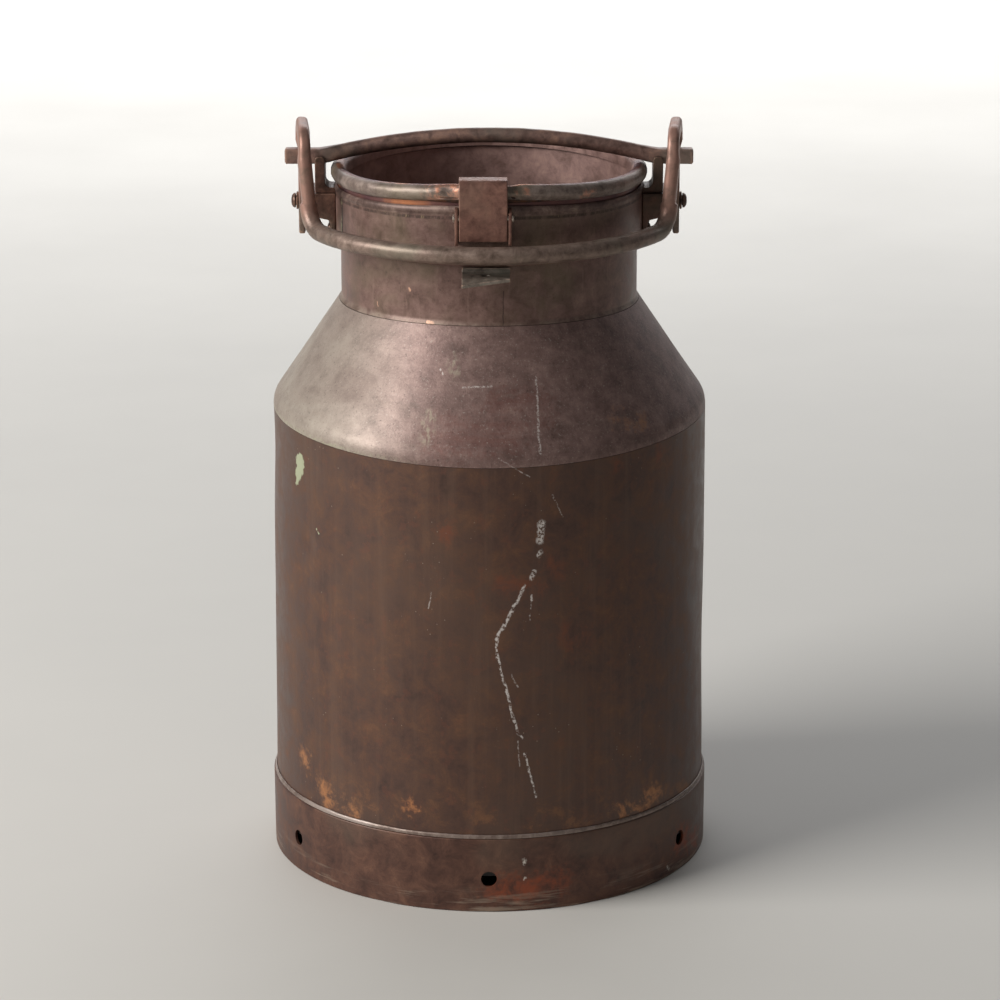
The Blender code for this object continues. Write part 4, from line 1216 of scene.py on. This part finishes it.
def bright_pin():
    """A pin worn bright, with fine turning marks."""
    graph = Graph("bright_pin")
    marks = graph.noise(900.0, 4.0, 0.7, at=graph.vector("MULTIPLY", graph.spot, (0.2, 1.0, 1.0)))
    graph.colour = graph.ramp(marks, (0.35, 150, 126, 108), (0.65, 226, 214, 202))
    graph.bump((marks, 0.0002, 0.4))
    return graph.finish(graph.span(marks, 0.3, 0.7, 0.22, 0.38), 0.85)


def wire_iron():
    graph = Graph("wire_iron")
    rust = graph.noise(160.0, 8.0, 0.7)
    graph.colour = graph.ramp(rust, (0.35, 52, 44, 40), (0.60, 98, 62, 44))
    graph.bump((rust, 0.0004, 0.5))
    return graph.finish(graph.span(rust, 0.3, 0.7, 0.5, 0.8), 0.5)


def pale_floor():
    graph = Graph("pale_floor")
    cloud = graph.noise(1.6, 4.0, 0.6)
    grain = graph.noise(220.0, 3.0, 0.6)
    graph.colour = graph.ramp(cloud, (0.35, 205, 202, 196), (0.65, 212, 209, 203))
    graph.bump((grain, 0.0002, 0.15))
    return graph.finish(graph.span(cloud, 0.3, 0.7, 0.62, 0.72), 0.0)


# Putting it together.
def dress(piece, material, body, slot, *nodes):
    """Gives a piece its material and its body, and hides the CAD nodes it stands for; the slot is not used.
    """
    piece.data.materials.clear()
    piece.data.materials.append(material)
    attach(piece, body)
    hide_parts(*nodes)


def vessel(copper):
    """The can's own skins; the hidden mouth wire keeps its CAD shape."""
    skins = {
        "foot_skirt": (foot_skirt(), skirt_copper()),
        "foot_solder_seam": (foot_solder_seam(), old_solder()),
        "bottom_pan": (bottom_pan(), copper["sheet"]),
        "body_shell": (body_shell(), body_copper()),
        "shoulder_cone": (shoulder_cone(), cone_copper()),
        "neck_tube": (neck_tube(), neck_copper()),
        "neck_collar": (neck_collar(), collar_copper()),
        "mouth_ring": (mouth_ring(), bead_copper()),
    }
    for node, (skin, material) in skins.items():
        dress(skin, material, "vessel", node, node)
    wire = frame["nodes"]["mouth_wire"]
    wire.data.materials.clear()
    wire.data.materials.append(wire_iron())


def fittings(copper):
    for side, label in ((-1, "left"), (1, "right")):
        cast = {
            f"ear_bracket_{label}": (f"ear_{label}_cast", "ear", "ear", EAR_WEAR, 3.0),
            f"crossbar_saddle_{label}": (f"saddle_{label}_forged", "ear", "saddle", SADDLE_WEAR, 7.0),
            f"latch_cheek_{label}": (f"latch_cheek_{label}_worn", "latch", "latch", CHEEK_WEAR, 11.0),
        }
        for node, (name, look, slot, wear, seed) in cast.items():
            dress(worn(node, name, wear, seed + side), copper[look], "vessel", slot, node)
        dress(pivot_rivet(side, label), copper["rivet"], "vessel", "rivet", f"pivot_rivet_{label}")
        dress(pivot_washer(side, label), copper["rivet"], "vessel", "rivet", f"pivot_washer_{label}")
        for end in ("front", "back"):
            node = f"ear_rivet_{label}_{end}"
            dress(ear_rivet(side, node), copper["rivet"], "vessel", "rivet", node)
    dress(latch_pin(), bright_pin(), "vessel", "latch_pin", "latch_pin")
    lug = worn("seal_lug", "seal_lug_worn", LUG_WEAR, 17.0)
    dress(lug, copper["lug"], "vessel", "seal_lug", "seal_lug")


def moving_pieces(copper):
    dress(crossbar(), copper["bar"], "crossbar", "crossbar", "crossbar")
    dress(handle_bail(), handle_bronze(), "handle", "handle", "handle_bail")
    strap = worn("latch_strap", "latch_strap_worn", STRAP_WEAR, 23.0)
    dress(strap, copper["latch"], "latch", "latch", "latch_strap")


def copper_set():
    """Materials by use: dark, middle, light and film colours, noise shift and rubbed share."""
    kinds = {
        "sheet": ("pan_copper", (60, 44, 38), (104, 80, 68), (136, 110, 94), (112, 106, 84), 2.0, 0.2),
        "ear": ("ear_bronze", (52, 36, 30), (90, 64, 54), (122, 88, 72), (84, 78, 66), 5.0, 0.6),
        "rivet": ("rivet_copper", (46, 32, 28), (76, 54, 46), (110, 80, 66), (72, 62, 52), 6.0, 0.4),
        "bar": ("bar_bronze", (84, 64, 57), (130, 103, 94), (168, 132, 114), (128, 120, 109), 8.0, 0.5),
        "latch": ("latch_copper", (94, 64, 56), (134, 96, 84), (162, 120, 102), (138, 108, 94), 15.0, 0.9),
        "lug": ("lug_copper", (82, 72, 64), (124, 114, 104), (156, 146, 134), (118, 116, 104), 19.0, 0.9),
    }
    return {use: worn_bronze(*looks) for use, looks in kinds.items()}


def area_light(name, place, aim, size, power, colour):
    data = bpy.data.lights.new(name, "AREA")
    data.shape = "RECTANGLE"
    data.size = size[0]
    data.size_y = size[1]
    data.energy = power
    data.color = colour
    light = bpy.data.objects.new(name, data)
    light.location = place
    light.rotation_euler = (Vector(aim) - Vector(place)).to_track_quat("-Z", "Y").to_euler()
    light.visible_camera = False
    bpy.context.scene.collection.objects.link(light)


def studio():
    """A pale floor lit far behind, a big soft window on the left and a weak glow behind the can."""
    reach = 14.0
    shape = bmesh.new()
    bmesh.ops.create_grid(shape, x_segments=8, y_segments=8, size=reach)
    mesh = bpy.data.meshes.new("studio_floor")
    shape.to_mesh(mesh)
    shape.free()
    floor = bpy.data.objects.new("studio_floor", mesh)
    bpy.context.scene.collection.objects.link(floor)
    mesh.materials.append(pale_floor())
    can = (0.0, 0.0, 0.27)
    far_floor = (0.0, 4.5, 0.0)
    warm = (1.0, 0.985, 0.96)
    cool = (0.97, 0.98, 1.0)
    area_light("window", (-2.7, -1.2, 1.9), can, size=(2.0, 1.8), power=128.0, colour=warm)
    area_light("wall_glow", (0.3, 2.6, 1.5), can, size=(4.0, 1.6), power=8.0, colour=cool)
    area_light("far_floor", (0.0, 4.3, 2.2), far_floor, size=(7.0, 3.2), power=235.0, colour=cool)
    world = bpy.data.worlds.new("studio_air")
    world.use_nodes = True
    world.node_tree.nodes["Background"].inputs["Color"].default_value = (0.92, 0.93, 0.95, 1.0)
    world.node_tree.nodes["Background"].inputs["Strength"].default_value = 0.13
    bpy.context.scene.world = world
    bpy.context.scene.view_settings.view_transform = "Standard"


def camera():
    """The photograph's view: from above the mouth's height, looking a little down."""
    data = bpy.data.cameras.new("camera")
    data.sensor_width = 36.0
    data.lens = 133.24
    data.clip_end = 60.0
    viewer = bpy.data.objects.new("camera", data)
    viewer.location = (0.0076, -2.52, 0.995)
    viewer.rotation_euler = (math.radians(90 - 16.47), 0.0, 0.0)
    bpy.context.scene.collection.objects.link(viewer)
    bpy.context.scene.camera = viewer


camera()
studio()
COPPER = copper_set()
vessel(COPPER)
fittings(COPPER)
moving_pieces(COPPER)
